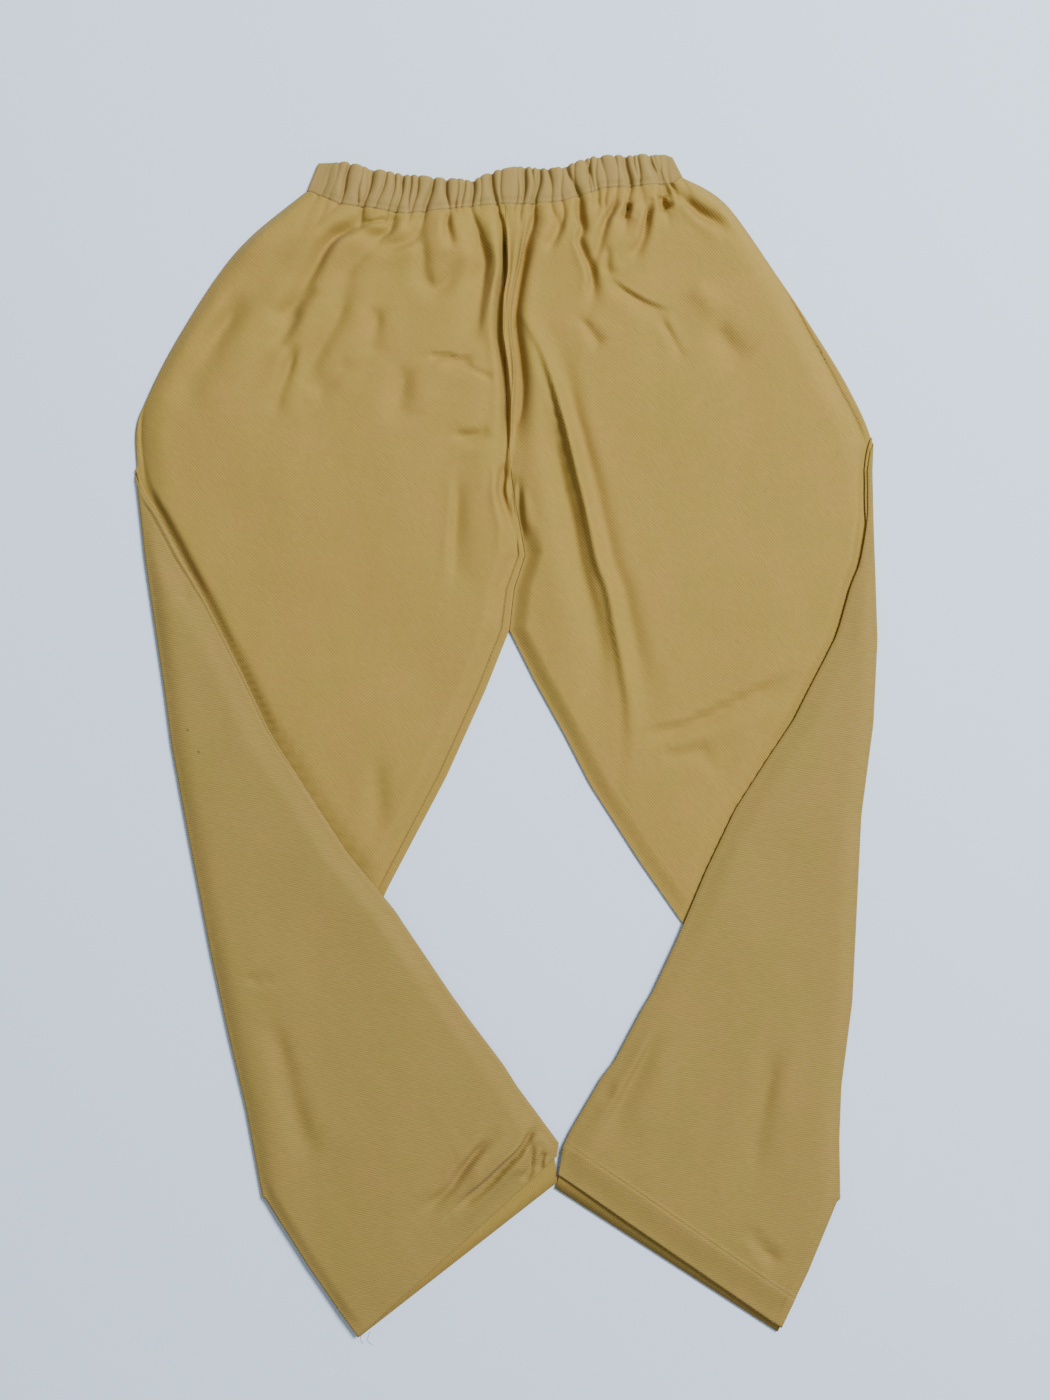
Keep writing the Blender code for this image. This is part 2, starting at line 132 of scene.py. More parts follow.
# %% [markdown]
# ## The cut of a leg
# Each half of the trousers is a front and a back panel, sewn at the outer seam, the
# inseam and the centre seam. A section is a line across the opened-out leg from its
# outer to its inner seam. The tables also say how wide a strip of the other panel shows
# where a seam has rolled over, and how far the front stands off the back.

# %% Sections of the left leg
Section = namedtuple("Section", "outer inner front_out front_in back_out loft")

LEFT_LEG = [
    Section((-167, 456), (-1, 441), 0, 0, 0, 2.6),
    Section((-211, 420), (-1, 413), 0, 0, 0, 8),
    Section((-240.5, 385), (-2, 376), 0, 0, 0, 10),
    Section((-275.5, 329), (-2, 327), 0, 0, 0, 10.5),
    Section((-297.5, 285), (0, 281), 0, 0, 0, 10.3),
    Section((-306, 259), (1, 248), 4, 0, 0, 9.8),
    Section((-305, 213), (5, 211), 6, 0, 3, 9.2),
    Section((-314, 185), (15, 157), 0, 6, 4.6, 8.6),
    Section((-322, 155), (6, 129), 0, 7, 5.5, 8),
    Section((-326, 135), (2, 95), 0, 7.5, 4.6, 7.2),
    Section((-332, 105), (-17.5, 46), 0, 7.5, 3, 6.4),
    Section((-340, 55), (-50, -26), 0, 7.5, 2.6, 6.0),
    Section((-354, -30), (-99, -119), 0, 7.5, 2, 5.0),
    Section((-375, -131), (-138, -213), 0, 7.5, 0, 2.8),
    Section((-394.5, -190), (-164, -275), 0, 0, 0, 0),
    Section((-413, -293), (-200, -367), 0, 0, 0, 0),
    Section((-426, -357), (-214, -437), 0, 0, 0, 0),
    Section((-441.5, -412), (-223.4, -475), 0, 0, 0, 0),
    Section((-429, -443), (-232, -507), 0, 0, 0, 0),
]
LEFT_BACK_HEM = ((-436, -422), (-232, -506))
print("left leg:", len(LEFT_LEG), "sections")

# %% Sections of the right leg
RIGHT_LEG = [
    Section((146, 470), (-1, 441), 0, 0, 0, 2.6),
    Section((181, 446), (-1, 413), 0, 0, 0, 8),
    Section((224.5, 385), (-2, 376), 0, 0, 0, 10),
    Section((253, 342), (-2, 327), 5, 0, 0, 10.5),
    Section((281, 296), (0, 281), 8, 0, 0, 10.3),
    Section((300.5, 252), (1, 248), 6, 0, 0, 9.8),
    Section((303.5, 211), (5, 211), 4, 0, 0, 9.2),
    Section((305, 185), (15, 157), 0, 0, 0, 8.6),
    Section((313, 150), (6, 129), 0, 0, 0, 8.2),
    Section((322, 128), (2, 95), 0, 0, 0, 7.6),
    Section((332, 97), (22.5, 54), 0, 0, 0, 7),
    Section((343, 68), (48, 8), 0, 0, 0, 6.2),
    Section((354, 40), (68.5, -32), 0, 0, 0, 5.2),
    Section((376, -18), (109, -95), 0, 0, 0, 3.4),
    Section((394, -69), (144.5, -146), 0, 0, 0, 1.5),
    Section((410, -113), (180, -208), 0, 0, 0, 0),
    Section((428, -171), (215, -269), 0, 0, 0, 0),
    Section((449, -230), (250, -331), 0, 0, 0, 0),
    Section((460.5, -275), (275, -375), 0, 0, 0, 0),
    Section((497, -350), (292.3, -434), 0, 0, 0, 0),
    Section((504.5, -385), (311, -487), 0, 0, 0, 0),
]
RIGHT_BACK_HEM = ((501.5, -373.5), (309.5, -483))
print("right leg:", len(RIGHT_LEG), "sections")

# %% [markdown]
# ## Where the legs are folded
# Each lower leg turns over on a nearly straight line. The edge of a real fold bows a
# little, so the table adds to the line how far it stands out at some distances down it.

# %% Fold lines
Fold = namedtuple("Fold", "start end outward bow")

LEFT_FOLD = Fold((-305, 213.5), (-202, -371), -1, [
    (0, 0), (61, 4), (169, 7), (214, 9), (274, 8.6), (389, 7), (456, 4.4), (521, 0.6),
    (594, 0)])
RIGHT_FOLD = Fold((301.5, 227.5), (275, -375), 1, [
    (0, 0), (42, 2.7), (89, 6.4), (140, 10.3), (209, 10), (285, 3.4), (439, 2.7),
    (509, -3.3), (554, -3), (603, 0)])
print("two fold lines")

# %% [markdown]
# ## How the layers lie
# Four layers of cloth lie on each other where a leg is folded. Each panel has the height
# of its outer face on the thigh and on the folded-over leg, the same as in the solids,
# so no layer runs through its neighbour.

# %% Layers
CLOTH = 1.0
TURN_UP = 1.6
CASING = 1.8
GAP = 0.3
FOLD_AIR = 1.2
CASING_AIR = 1.0
HEM_DEPTH = 28.6

FRONT_LOW = 2 * CLOTH + GAP
FRONT_HIGH = FRONT_LOW + FOLD_AIR
BACK_HIGH = FRONT_HIGH + 2 * CLOTH + GAP
LAYERS = {"front": (FRONT_LOW, FRONT_HIGH), "back": (0.0, BACK_HIGH)}
CASING_TOP = 2 * CASING + CASING_AIR
print("top of the folded legs", BACK_HIGH, "mm, of the casing", CASING_TOP, "mm")

# %% [markdown]
# ## Easing and curves
# The cloth is shaped by a few small helpers that work on whole lists of points at once.
# smooth eases from 0 to 1, straight and curved read a table at any place between its
# rows, and swell is the steep then level rise of cloth from the edge of a fold.

# %% Easing and curves
SWELL_POWER = 2.2
POINTS_A_STRETCH = 6


def smooth(value):
    """Ease from 0 to 1 as value goes from 0 to 1."""
    value = np.clip(value, 0.0, 1.0)
    return value * value * (3 - 2 * value)


def swell(distance, width):
    """Rise from 0 to 1 away from an edge, steep at the edge and level at width."""
    return 1 - (1 - np.clip(distance / width, 0.0, 1.0)) ** SWELL_POWER


def straight(rows, place):
    """Straight lines through the rows of a table, read at place, a row number."""
    rows = np.asarray(rows, float)
    steps = np.arange(len(rows))
    if rows.ndim == 1:
        return np.interp(place, steps, rows)
    return np.stack([np.interp(place, steps, column) for column in rows.T], axis=-1)


def curved(rows, place):
    """A smooth curve through the rows of a table, read at place, a row number."""
    rows = np.asarray(rows, float)
    last = len(rows) - 1
    i = np.clip(np.asarray(place).astype(int), 0, last - 1)
    f = (place - i)[:, None]
    a = rows[np.maximum(i - 1, 0)]
    b = rows[i]
    c = rows[i + 1]
    d = rows[np.minimum(i + 2, last)]
    return b + 0.5 * f * (c - a + f * (2 * a - 5 * b + 4 * c - d + f * (3 * (b - c) + d - a)))


def rounded_path(path):
    """The path of a crease or a seam with its corners rounded."""
    places = np.linspace(0, len(path) - 1, POINTS_A_STRETCH * (len(path) - 1) + 1)
    return curved(path, places)


print("half way up, smooth gives", smooth(0.5))

# %% [markdown]
# ## The waist line
# The casing is one strip, gathered on elastic to half its length, and its wavy lower
# edge carries all four panels. Both the panels and the casing read it from this table.

# %% Waist line
CASING_EDGES = [
    (-156, 480, -165, 457), (-131, 480, -138, 445), (-108, 474, -112, 442),
    (-82, 470, -86, 437), (-56, 467, -58, 440), (-28, 465.5, -29, 443),
    (-10, 473, -9, 445), (15, 477, 14, 445), (40, 475, 44, 447), (72, 485, 79, 458),
    (103, 486, 108, 460), (131, 487, 137, 463), (137, 484, 145, 470)]
SEAM_GAP = 0.12
TOP_X, TOP_Y, BOTTOM_X, BOTTOM_Y = np.array(CASING_EDGES, float).T


def waist_line(x):
    """Top edge of the panels, just below the casing."""
    end = CASING_TOP / 2
    within = np.clip(x, BOTTOM_X[0] + end, BOTTOM_X[-1] - end)
    return np.interp(within, BOTTOM_X, BOTTOM_Y) - SEAM_GAP


print("waist at the centre", round(float(waist_line(0)), 1))

# %% [markdown]
# ## Creases placed one by one
# A crease is a path on the cloth, the height of its ridge (below zero for a trough) and
# how far it spreads to either side, so one side can be sharp and the other soft. The
# second width is for the viewer's right of a path that runs down, and for the waist side
# of one that runs to the right. The centre seam comes first: the left panel rolls down
# to it, and right of it a narrow pleat stands over its own shadow.

# %% Creases at the centre seam
Crease = namedtuple("Crease", "path height near far")

CENTRE_CREASES = [
    Crease([(-9, 441), (-5, 434), (-3, 425), (-1, 405), (-1, 390), (-4, 370), (-5, 345),
            (-4, 330), (0, 300), (1, 265), (-1, 240), (-4, 222)], -4.2, 3.2, 0.9),
    Crease([(24, 444), (22, 438), (18, 425), (13, 400), (8, 380), (5, 360), (4.5, 345),
            (6, 330), (8, 310), (8, 290), (6, 269), (4, 239)], -4.6, 0.9, 5.0),
    Crease([(8, 430), (6, 400), (2, 375), (-0.5, 345), (1, 325), (4, 300), (4, 280)],
           0.6, 2.6, 2.2),
    Crease([(-1, 236), (-4, 215), (-3, 203), (2, 186), (12, 163)], -2.8, 3, 3),
    Crease([(4, 228), (4, 205), (9, 182), (14, 164)], -2.0, 4, 3.5),
    Crease([(10, 222), (10, 171), (14, 157)], -1.6, 2, 3),
    Crease([(9, 358), (31, 318), (55, 234), (74, 153), (83, 124), (97, 52), (102, 5),
            (99, -38)], 1.9, 2.0, 6),
    Crease([(40, 335), (66, 240), (86, 155), (97, 120), (110, 50), (114, 5)], -1.0, 9, 5),
    Crease([(19, 298), (37, 261), (50, 203), (64, 137), (77, 79), (78, 5)], -2.1, 10, 6),
    Crease([(-28, 430), (-22, 415), (-18, 400), (-20, 385), (-23, 365), (-24, 345),
            (-28, 322)], -2.2, 9, 4),
    Crease([(-6, 398), (-12, 375), (-18, 350), (-24, 325)], 0.7, 4, 4),
    Crease([(-40, 232), (-43, 180), (-43, 120)], -1.2, 2.5, 8),
]
print(len(CENTRE_CREASES), "creases at the centre")

# %% [markdown]
# The rest of the front follows region by region: the right hip and thigh, the left hip,
# then the two folded-over lower legs, which lie flatter.

# %% Creases of the right and the left front
RIGHT_CREASES = [
    Crease([(117, 446), (113, 425), (108, 410), (99, 399)], -2.4, 2.2, 3),
    Crease([(126, 453), (127, 447), (131, 438)], -4.0, 2.5, 3.5),
    Crease([(136, 453), (148, 446), (163, 434), (188, 420)], -2.0, 3.5, 4),
    Crease([(92, 452), (86, 440), (80, 428), (74, 405), (70, 391)], -2.0, 2.5, 3),
    Crease([(59, 450), (60, 438), (62, 425), (59, 415), (64, 402), (69, 390), (70, 375),
            (68, 358)], -2.2, 2.2, 3.2),
    Crease([(83, 383), (100, 372), (120, 361), (137, 354)], -1.0, 6, 1.3),
    Crease([(125, 353), (135, 335), (146, 313)], -0.6, 3, 2.5),
    Crease([(59, 352), (68, 340), (79, 324)], -1.0, 4, 4),
    Crease([(44, 440), (43, 426), (36, 412), (27, 406)], -1.5, 4, 3),
    Crease([(101, 447), (99, 440), (96, 432)], -2.6, 2, 2),
    Crease([(84, 410), (82, 395), (84, 383)], -1.1, 3, 3),
    Crease([(168, 348), (198, 309)], -1.1, 10, 8),
    Crease([(110, 10), (150, 19), (201, 43), (236, 57)], -1.8, 7, 1.8),
    Crease([(126, -9), (173, -3)], -0.9, 6, 5),
    Crease([(150, 380), (176, 352)], 0.8, 9, 9),
]
LEFT_CREASES = [
    Crease([(-118, 441), (-119, 432), (-127, 426), (-141, 418), (-152, 405), (-163, 385),
            (-177, 362), (-192, 340)], -2.8, 6, 5),
    Crease([(-119, 429), (-108, 430), (-97, 433)], -1.3, 2, 2),
    Crease([(-91, 440), (-92, 432), (-98, 422), (-110, 417), (-128, 419)], -1.2, 4, 4),
    Crease([(-68, 436), (-70, 428), (-78, 416), (-92, 411), (-110, 409), (-120, 402),
            (-132, 388), (-141, 368)], -1.5, 7, 5),
    Crease([(-72, 432), (-69, 405), (-68, 386), (-60, 376), (-50, 380), (-38, 392),
            (-25, 397)], -1.3, 6, 5),
    Crease([(-49, 441), (-49, 430), (-46, 415), (-42, 405)], -1.4, 3, 3),
    Crease([(-65, 321), (-48, 320), (-40, 317), (-27, 318)], -1.4, 5, 1.2),
    Crease([(-34, 312), (-20, 305), (-9, 301)], -0.7, 2, 2),
    Crease([(-46, 256), (-26, 254), (-12, 261)], -1.1, 5, 4),
    Crease([(-211, 374), (-240, 335), (-264, 295), (-279, 277)], -2.0, 8, 11),
    Crease([(-154, 377), (-193, 347)], -1.3, 5, 5),
    Crease([(-168, 361), (-193, 323)], -1.4, 6, 5),
    Crease([(-172, 332), (-186, 291), (-195, 268)], -1.5, 5, 5),
    Crease([(-131, 381), (-140, 349), (-161, 313), (-168, 288)], -1.5, 6, 7),
    Crease([(-80, 315), (-88, 290), (-90, 262)], -1.3, 8, 8),
    Crease([(-107, 362), (-109, 340), (-112, 318)], -1.1, 6, 6),
    Crease([(-126, 318), (-164, 286)], -1.0, 7, 7),
    Crease([(-108, -8), (-105, -80)], -0.9, 6, 6),
]
print(len(RIGHT_CREASES), "creases on the right,", len(LEFT_CREASES), "on the left")

# %% Creases of the folded-over legs
FLAP_CREASES = [
    Crease([(-212, -195), (-194, -186)], -0.9, 4, 3),
    Crease([(-194, -218), (-177, -290), (-159, -353)], -1.3, 7, 7),
    Crease([(32, -312), (24, -314), (19, -320), (12, -331), (2, -342), (-12, -356),
            (-28, -370), (-46, -386)], -3.0, 2.6, 2.6),
    Crease([(-10, -320), (-24, -334), (-38, -350), (-49, -366), (-72, -386)], -1.7, 3.6, 3),
    Crease([(22, -325), (20, -335), (19, -348), (12, -359)], -1.7, 2.2, 2.2),
    Crease([(31, -334), (27, -341), (26, -350)], -2.5, 1.4, 2),
    Crease([(30, -320), (34, -329), (36, -337)], 0.8, 4, 4),
    Crease([(-40, -352), (-10, -342), (22, -334)], 0.9, 15, 15),
    Crease([(128, -228), (112, -258), (89, -302), (76, -330)], -1.3, 3, 9),
    Crease([(221, -243), (205, -326), (199, -362)], -1.2, 8, 7),
    Crease([(197, -398), (216, -419), (225, -427)], -1.0, 4, 4),
    Crease([(76, -281), (87, -289)], -1.7, 2.2, 2.5),
    Crease([(-258, 139), (-261, 131), (-268, 118)], -1.4, 3, 3),
    Crease([(265, -384), (245, -418), (233, -443), (216, -475)], -0.8, 1.4, 1.4),
]
print(len(FLAP_CREASES), "creases on the folded-over legs")

# %% [markdown]
# ## From creases to heights
# The height of the cloth at a point is the sum of all creases near it. Each one widens
# down its path, fades at its ends, swells unevenly on the way and raises a low lip
# beside it, as a real fold does. Slow noise moves every point a little first.

# %% Height of the creases
TAPER = 0.28
END_HEIGHT, END_SPREAD = 0.12, 0.6
START_WIDTH, WIDEN = 0.7, 0.8
START_STRENGTH, WEAKEN = 1.15, 0.4
UNEVEN, UNEVEN_RATE, UNEVEN_SHIFT = 0.22, 7.0, 2.1
LIP, LIP_PLACE, LIP_WIDTH = 0.15, 2.3, 1.2
REACH_IN_WIDTHS = 7
WARP = 1.0


def nearest_on(path, x, y):
    """Distance to a path, its side (+1 or -1) and the share of its length, for each point."""
    steps = np.diff(path, axis=0)
    lengths = np.hypot(steps[:, 0], steps[:, 1])
    best = np.full(len(x), np.inf)
    side = np.ones(len(x))
    share = np.zeros(len(x))
    done = 0.0
    for (ax, ay), (dx, dy), length in zip(path, steps, lengths):
        f = np.clip(((x - ax) * dx + (y - ay) * dy) / length ** 2, 0.0, 1.0)
        gap = np.hypot(x - ax - f * dx, y - ay - f * dy)
        closer = gap < best
        best[closer] = gap[closer]
        side[closer] = np.sign(dx * (y - ay) - dy * (x - ax))[closer]
        share[closer] = ((done + f * length) / lengths.sum())[closer]
        done += length
    return best, side, share


def slow_noise(x, y, size, seed):
    """Noise at each point, drawn out to a size (x, y) in millimetres."""
    return np.array([noise.noise(Vector((a / size[0], b / size[1], seed)))
                     for a, b in zip(x, y)])


def wander_off(x, y):
    """Points moved a little to and fro, so that no crease runs as it was drawn."""
    return (x + WARP * slow_noise(x, y, (26, 34), 21.0),
            y + WARP * slow_noise(x, y, (31, 24), 34.0))


def crease_height(x, y, creases):
    """Height that all the creases together give the cloth at each point."""
    height = np.zeros(len(x))
    x, y = wander_off(x, y)
    for number, crease in enumerate(creases):
        path = rounded_path(crease.path)
        reach = REACH_IN_WIDTHS * max(crease.near, crease.far)
        low, high = path.min(axis=0) - reach, path.max(axis=0) + reach
        inside = (x > low[0]) & (x < high[0]) & (y > low[1]) & (y < high[1])
        gap, side, share = nearest_on(path, x[inside], y[inside])
        ends = smooth(share / TAPER) * smooth((1 - share) / TAPER)
        width = np.where(side > 0, crease.far, crease.near)
        width = width * (START_WIDTH + WIDEN * share + END_SPREAD * (1 - ends))
        wander = 1 + UNEVEN * np.sin(UNEVEN_RATE * share + UNEVEN_SHIFT * number)
        strength = END_HEIGHT + (1 - END_HEIGHT) * ends
        strength = strength * wander * (START_STRENGTH - WEAKEN * share)
        lip = LIP * np.exp(-((gap / width - LIP_PLACE) / LIP_WIDTH) ** 2)
        height[inside] += crease.height * strength * (np.exp(-(gap / width) ** 2) - lip)
    return height


test = crease_height(np.array([-2.0]), np.array([400.0]), CENTRE_CREASES)
print("height at the centre seam", round(float(test[0]), 2), "mm")

# %% [markdown]
# ## Gathers
# The elastic draws the casing into sharp folds with puffed cloth between them, and the
# folds run on into the panels and fan out. The large ones are listed: x at the casing's
# top and bottom edge, the end of the run in the panel, and the depth. Between them a
# seeded random choice adds small ones, because elastic never gathers evenly.

# %% Gathers, large and small
Gather = namedtuple("Gather", "top bottom run_x run_y depth width")

GATHERS = [Gather(*row) for row in [
    (-142, -154, -160, 450, 1.0, 2.0), (-128, -138, -146, 436, 2.0, 1.8),
    (-119, -123, -126, 440, 1.0, 1.3), (-110, -118, -121, 428, 3.2, 2.0),
    (-98, -108, -112, 436, 1.0, 1.5), (-84, -91, -97, 424, 2.0, 1.7),
    (-60, -67, -72, 424, 2.4, 1.9), (-50, -48, -49, 425, 1.8, 1.6),
    (-41, -42, -40, 436, 1.0, 1.4), (-35, -37, -35, 434, 0.9, 1.3),
    (-28, -29, -22, 415, 2.4, 1.9), (-22, -22, -20, 438, 0.8, 1.2),
    (-13, -9, -4, 428, 2.4, 1.7), (-6, -4, 0, 436, 0.7, 1.3), (10, 7, 6, 436, 0.8, 1.5),
    (16, 12.5, 11, 432, 2.4, 1.7), (22, 21, 19, 432, 2.0, 1.2), (27, 24, 20, 424, 3.0, 1.6),
    (34, 37, 40, 428, 1.4, 2.2), (48, 59, 61, 430, 2.8, 1.8), (63, 73, 76, 440, 1.0, 1.6),
    (77, 82, 80, 425, 1.0, 1.8), (88, 92, 86, 440, 0.9, 1.5), (97, 101, 97, 432, 3.2, 1.9),
    (108, 109, 110, 440, 0.8, 1.5), (116, 127, 131, 436, 2.8, 1.8),
    (124, 129, 134, 445, 2.0, 1.6), (130, 135, 140, 446, 2.4, 1.6)]]
SMALL_COUNT = 30
SMALL_FROM, SMALL_SPAN = -150, 285
CLEAR_OF_LARGE = 3.2
FAN_AT_SEAM, FAN_AT_END = 1.05, 1.1

chance = random.Random(7)
small_gathers = []
for step in range(SMALL_COUNT):
    gather_x = SMALL_FROM + SMALL_SPAN * (step + chance.uniform(0.1, 0.9)) / SMALL_COUNT
    if min(abs(gather_x - gather.top) for gather in GATHERS) > CLEAR_OF_LARGE:
        lean = chance.uniform(-3, 3)
        run_y = float(waist_line(gather_x)) - chance.uniform(8, 26)
        depth, width = chance.uniform(0.5, 1.2), chance.uniform(1.2, 1.8)
        small_gathers.append(Gather(
            gather_x, gather_x * FAN_AT_SEAM + lean, gather_x * FAN_AT_END + 2 * lean,
            run_y, depth, width))
print(len(GATHERS), "large and", len(small_gathers), "small gathers")

# %% [markdown]
# The cloth is puffed up everywhere and each gather cuts into it, with a sharp middle in
# a broad hollow. A gather sways a little, is uneven along its length, opens out below the
# seam and runs on past the end that the table gives it.

# %% Height of the gathers
PUFF = 5.5
DEPTH_SHARE = 3.5
RUN = 1.7
ABOVE_TOP = 2
SWAY, SWAY_LENGTH = 0.9, 5.5
FADE_LEVEL, FADE_SWING, FADE_LENGTH, FADE_SHIFT = 0.8, 0.35, 7.5, 1.7
OPEN_OUT, OPEN_LENGTH = 0.8, 25
SHARP, SHARP_WIDTH = 0.6, 0.65
BROAD, BROAD_WIDTH = 0.4, 2
GATHER_FLOOR = -0.9


def gather_height(x, y):
    """Swell of the cloth between the gathers, on the casing and below it."""
    height = np.full(len(x), PUFF)
    for gather in GATHERS + small_gathers:
        top_y = float(np.interp(gather.top, TOP_X, TOP_Y)) + ABOVE_TOP
        seam_y = float(np.interp(gather.bottom, BOTTOM_X, BOTTOM_Y))
        end_x = gather.bottom + RUN * (gather.run_x - gather.bottom)
        end_y = seam_y + RUN * (gather.run_y - seam_y)
        path = np.array([(gather.top, top_y), (gather.bottom, seam_y), (end_x, end_y)])
        sway = SWAY * np.sin(y / SWAY_LENGTH + gather.top)
        gap, _, share = nearest_on(path, x + sway, y)
        fade = np.where(y > seam_y, 1.0, smooth(2 * (1 - share)))
        fade *= FADE_LEVEL + FADE_SWING * np.sin(y / FADE_LENGTH + FADE_SHIFT * gather.top)
        opened = gather.width * (1 + OPEN_OUT * smooth((seam_y - y) / OPEN_LENGTH))
        sharp = SHARP * np.exp(-(gap / (SHARP_WIDTH * opened)) ** 2)
        broad = BROAD * np.exp(-(gap / (BROAD_WIDTH * opened)) ** 2)
        height -= fade * DEPTH_SHARE * gather.depth * (sharp + broad)
    return np.maximum(height, GATHER_FLOOR)


test = gather_height(np.array([27.0]), np.array([460.0]))
print("height at the deepest gather", round(float(test[0]), 2), "mm")

# %% [markdown]
# ## A leg and its fold
# A point of the opened-out leg is given in two ways: as u from the outer to the inner
# seam and place down the sections, or as the distance down the fold line and the
# distance outwards past it. What lies outside the line is the part that is folded over.
# There the front panel stays a little short of the outer seam, so the back can roll over
# it as a soft edge. The outer seam is a smooth curve round the hip and straight from row
# to row further down.

# %% Leg
SEAM_INSET = 5.0
INSET_ROW, INSET_ROWS = 6.5, 1.5
INSET_PAST_HEM, INSET_HEM_ROWS = 0.1, 1.1
STRAIGHT_ROW = 8


class Leg:
    """One half of the trousers: its sections, opened out, and the line it is folded on."""

    def __init__(self, sections, fold, back_hem):
        self.sections = sections
        self.back_hem = back_hem
        self.fold = fold
        self.start = np.array(fold.start, float)
        line = np.array(fold.end, float) - self.start
        self.down = line / np.linalg.norm(line)
        self.out = np.array([-self.down[1], self.down[0]]) * fold.outward
        self.last = len(sections) - 1
        seam = self.to_fold(np.array([section.outer for section in sections[3:]], float))
        self.seam = seam[np.argsort(seam[:, 0])]

    def column(self, name, place):
        """One column of the table of sections, read at place."""
        return straight([getattr(section, name) for section in self.sections], place)

    def bow(self, t):
        """How far the folded edge stands out from the fold line, at distances down it."""
        rows = np.array(self.fold.bow, float)
        return np.interp(t, rows[:, 0], rows[:, 1])

    def to_fold(self, points):
        """Distance down the fold line, and outwards past where the cloth turns."""
        offset = points - self.start
        t = offset @ self.down
        return np.stack([t, offset @ self.out - self.bow(t) + BACK_HIGH / 2], axis=-1)

    def from_fold(self, t, reach):
        """The point at a distance down the fold line and a reach outwards from it."""
        outwards = reach + self.bow(t) - BACK_HIGH / 2
        return self.start + t[:, None] * self.down + outwards[:, None] * self.out

    def ends(self, side):
        """Both ends of every section, as the front or the back panel has them."""
        outer = np.array([section.outer for section in self.sections], float)
        inner = np.array([section.inner for section in self.sections], float)
        if side == "back":
            outer[-1], inner[-1] = self.back_hem
        inner[:, 0] += self.fold.outward * GAP / 2
        return outer, inner

    def points(self, side, u, place):
        """Opened-out points, and the width of the leg at each."""
        outer_ends, inner_ends = self.ends(side)
        inner = straight(inner_ends, place)
        below_hip = smooth(place - STRAIGHT_ROW)[:, None]
        outer = curved(outer_ends, place) * (1 - below_hip)
        outer = outer + straight(outer_ends, place) * below_hip
        width = np.linalg.norm(inner - outer, axis=1)
        if side == "front":
            inset = SEAM_INSET * smooth((place - INSET_ROW) / INSET_ROWS)
            inset = inset * smooth((self.last + INSET_PAST_HEM - place) / INSET_HEM_ROWS)
            outer = outer + (inner - outer) * (inset / width)[:, None]
        points = outer + (inner - outer) * u[:, None]
        top = outer_ends[0] + (inner_ends[0] - outer_ends[0]) * u[:, None]
        points[:, 1] += (waist_line(top[:, 0]) - top[:, 1]) * np.clip(1 - place, 0.0, 1.0)
        return points, width


LEFT = Leg(LEFT_LEG, LEFT_FOLD, LEFT_BACK_HEM)
RIGHT = Leg(RIGHT_LEG, RIGHT_FOLD, RIGHT_BACK_HEM)
print("left fold line runs", np.round(LEFT.down, 3), "right one", np.round(RIGHT.down, 3))

# %% [markdown]
# ## Waves and rolled seams
# Slow noise keeps the flat stretches from looking ironed. A seam that has rolled over
# shows as a narrow raised strip beside a groove.

# %% Waves and rolled seams
WIDE_WAVE, WIDE_SIZE = 1.9, (62, 85)
SMALL_WAVE, SMALL_SIZE = 0.35, (19, 26)
STRIP_RISE, STRIP_EDGE = 1.3, 1.4
STRIP_GROOVE, GROOVE_WIDTH = 1.0, 0.8


def waves(x, y, seed):
    """Slow uneven waves of the cloth, about a millimetre high."""
    wide = slow_noise(x, y, WIDE_SIZE, seed)
    small = slow_noise(x, y, SMALL_SIZE, seed + 5)
    return WIDE_WAVE * wide + SMALL_WAVE * small


def strip_height(edge, width):
    """A strip of rolled-over seam, from the edge to the groove at its width."""
    groove = STRIP_GROOVE * np.exp(-((edge - width) / GROOVE_WIDTH) ** 2) * smooth(width / 2)
    return STRIP_RISE * smooth(edge / STRIP_EDGE) * smooth((width - edge) / STRIP_EDGE) - groove


print("a strip stands", round(float(strip_height(np.array([3.0]), 6.0)[0]), 1), "mm high")

# %% [markdown]
# ## Height of the open front
# The front stands off the back panel and falls to its seams: steeply at the outer one,
# gently at the centre seam, and to the inseam only below the crotch. It takes the
# creases, the gathers and the waves. The last line rounds off any hollow that would reach
# the layer below.

# %% Height of the open front
CREASE_SHARE = 3.5
GATHER_ROWS = 2
CROTCH_ROW = 6.2
INSEAM_SLOPE = 16
CENTRE_FALL, CENTRE_SLOPE = 0.35, 26
WAIST_SLOPE = 7
SIDE_SLOPE, SIDE_WIDENING = 3.0, 21.0
SIDE_EASE = 12
HOLLOW_ROUND = 0.35


def front_rise(leg, u, place, width, x, y, creases):
    """Height of the open front panel above its lowest layer."""
    outer_edge, inner_edge = u * width, (1 - u) * width
    outer_strip = leg.column("front_out", place)
    inner_strip = leg.column("front_in", place)
    below_crotch = smooth(place - CROTCH_ROW)
    inner_body = 1 - below_crotch * (1 - smooth((inner_edge - inner_strip) / INSEAM_SLOPE))
    centre_fall = 1 - CENTRE_FALL * (1 - below_crotch) * smooth(1 - inner_edge / CENTRE_SLOPE)
    from_waist = smooth((waist_line(x) - y) / WAIST_SLOPE)
    side_slope = SIDE_SLOPE + SIDE_WIDENING * smooth(place)
    body = swell(outer_edge - outer_strip, side_slope) * inner_body
    gathers = gather_height(x, y) * smooth(GATHER_ROWS - place)
    folds = CREASE_SHARE * crease_height(x, y, creases) + waves(x, y, 1.0)
    rise = leg.column("loft", place) * body * (1 - (1 - centre_fall) * from_waist)
    from_side = smooth((outer_edge - outer_strip) / SIDE_EASE)
    rise += (folds * from_waist + gathers) * from_side * inner_body
    rise += strip_height(outer_edge, outer_strip) + strip_height(inner_edge, inner_strip)
    return HOLLOW_ROUND * np.logaddexp(0.0, rise / HOLLOW_ROUND)


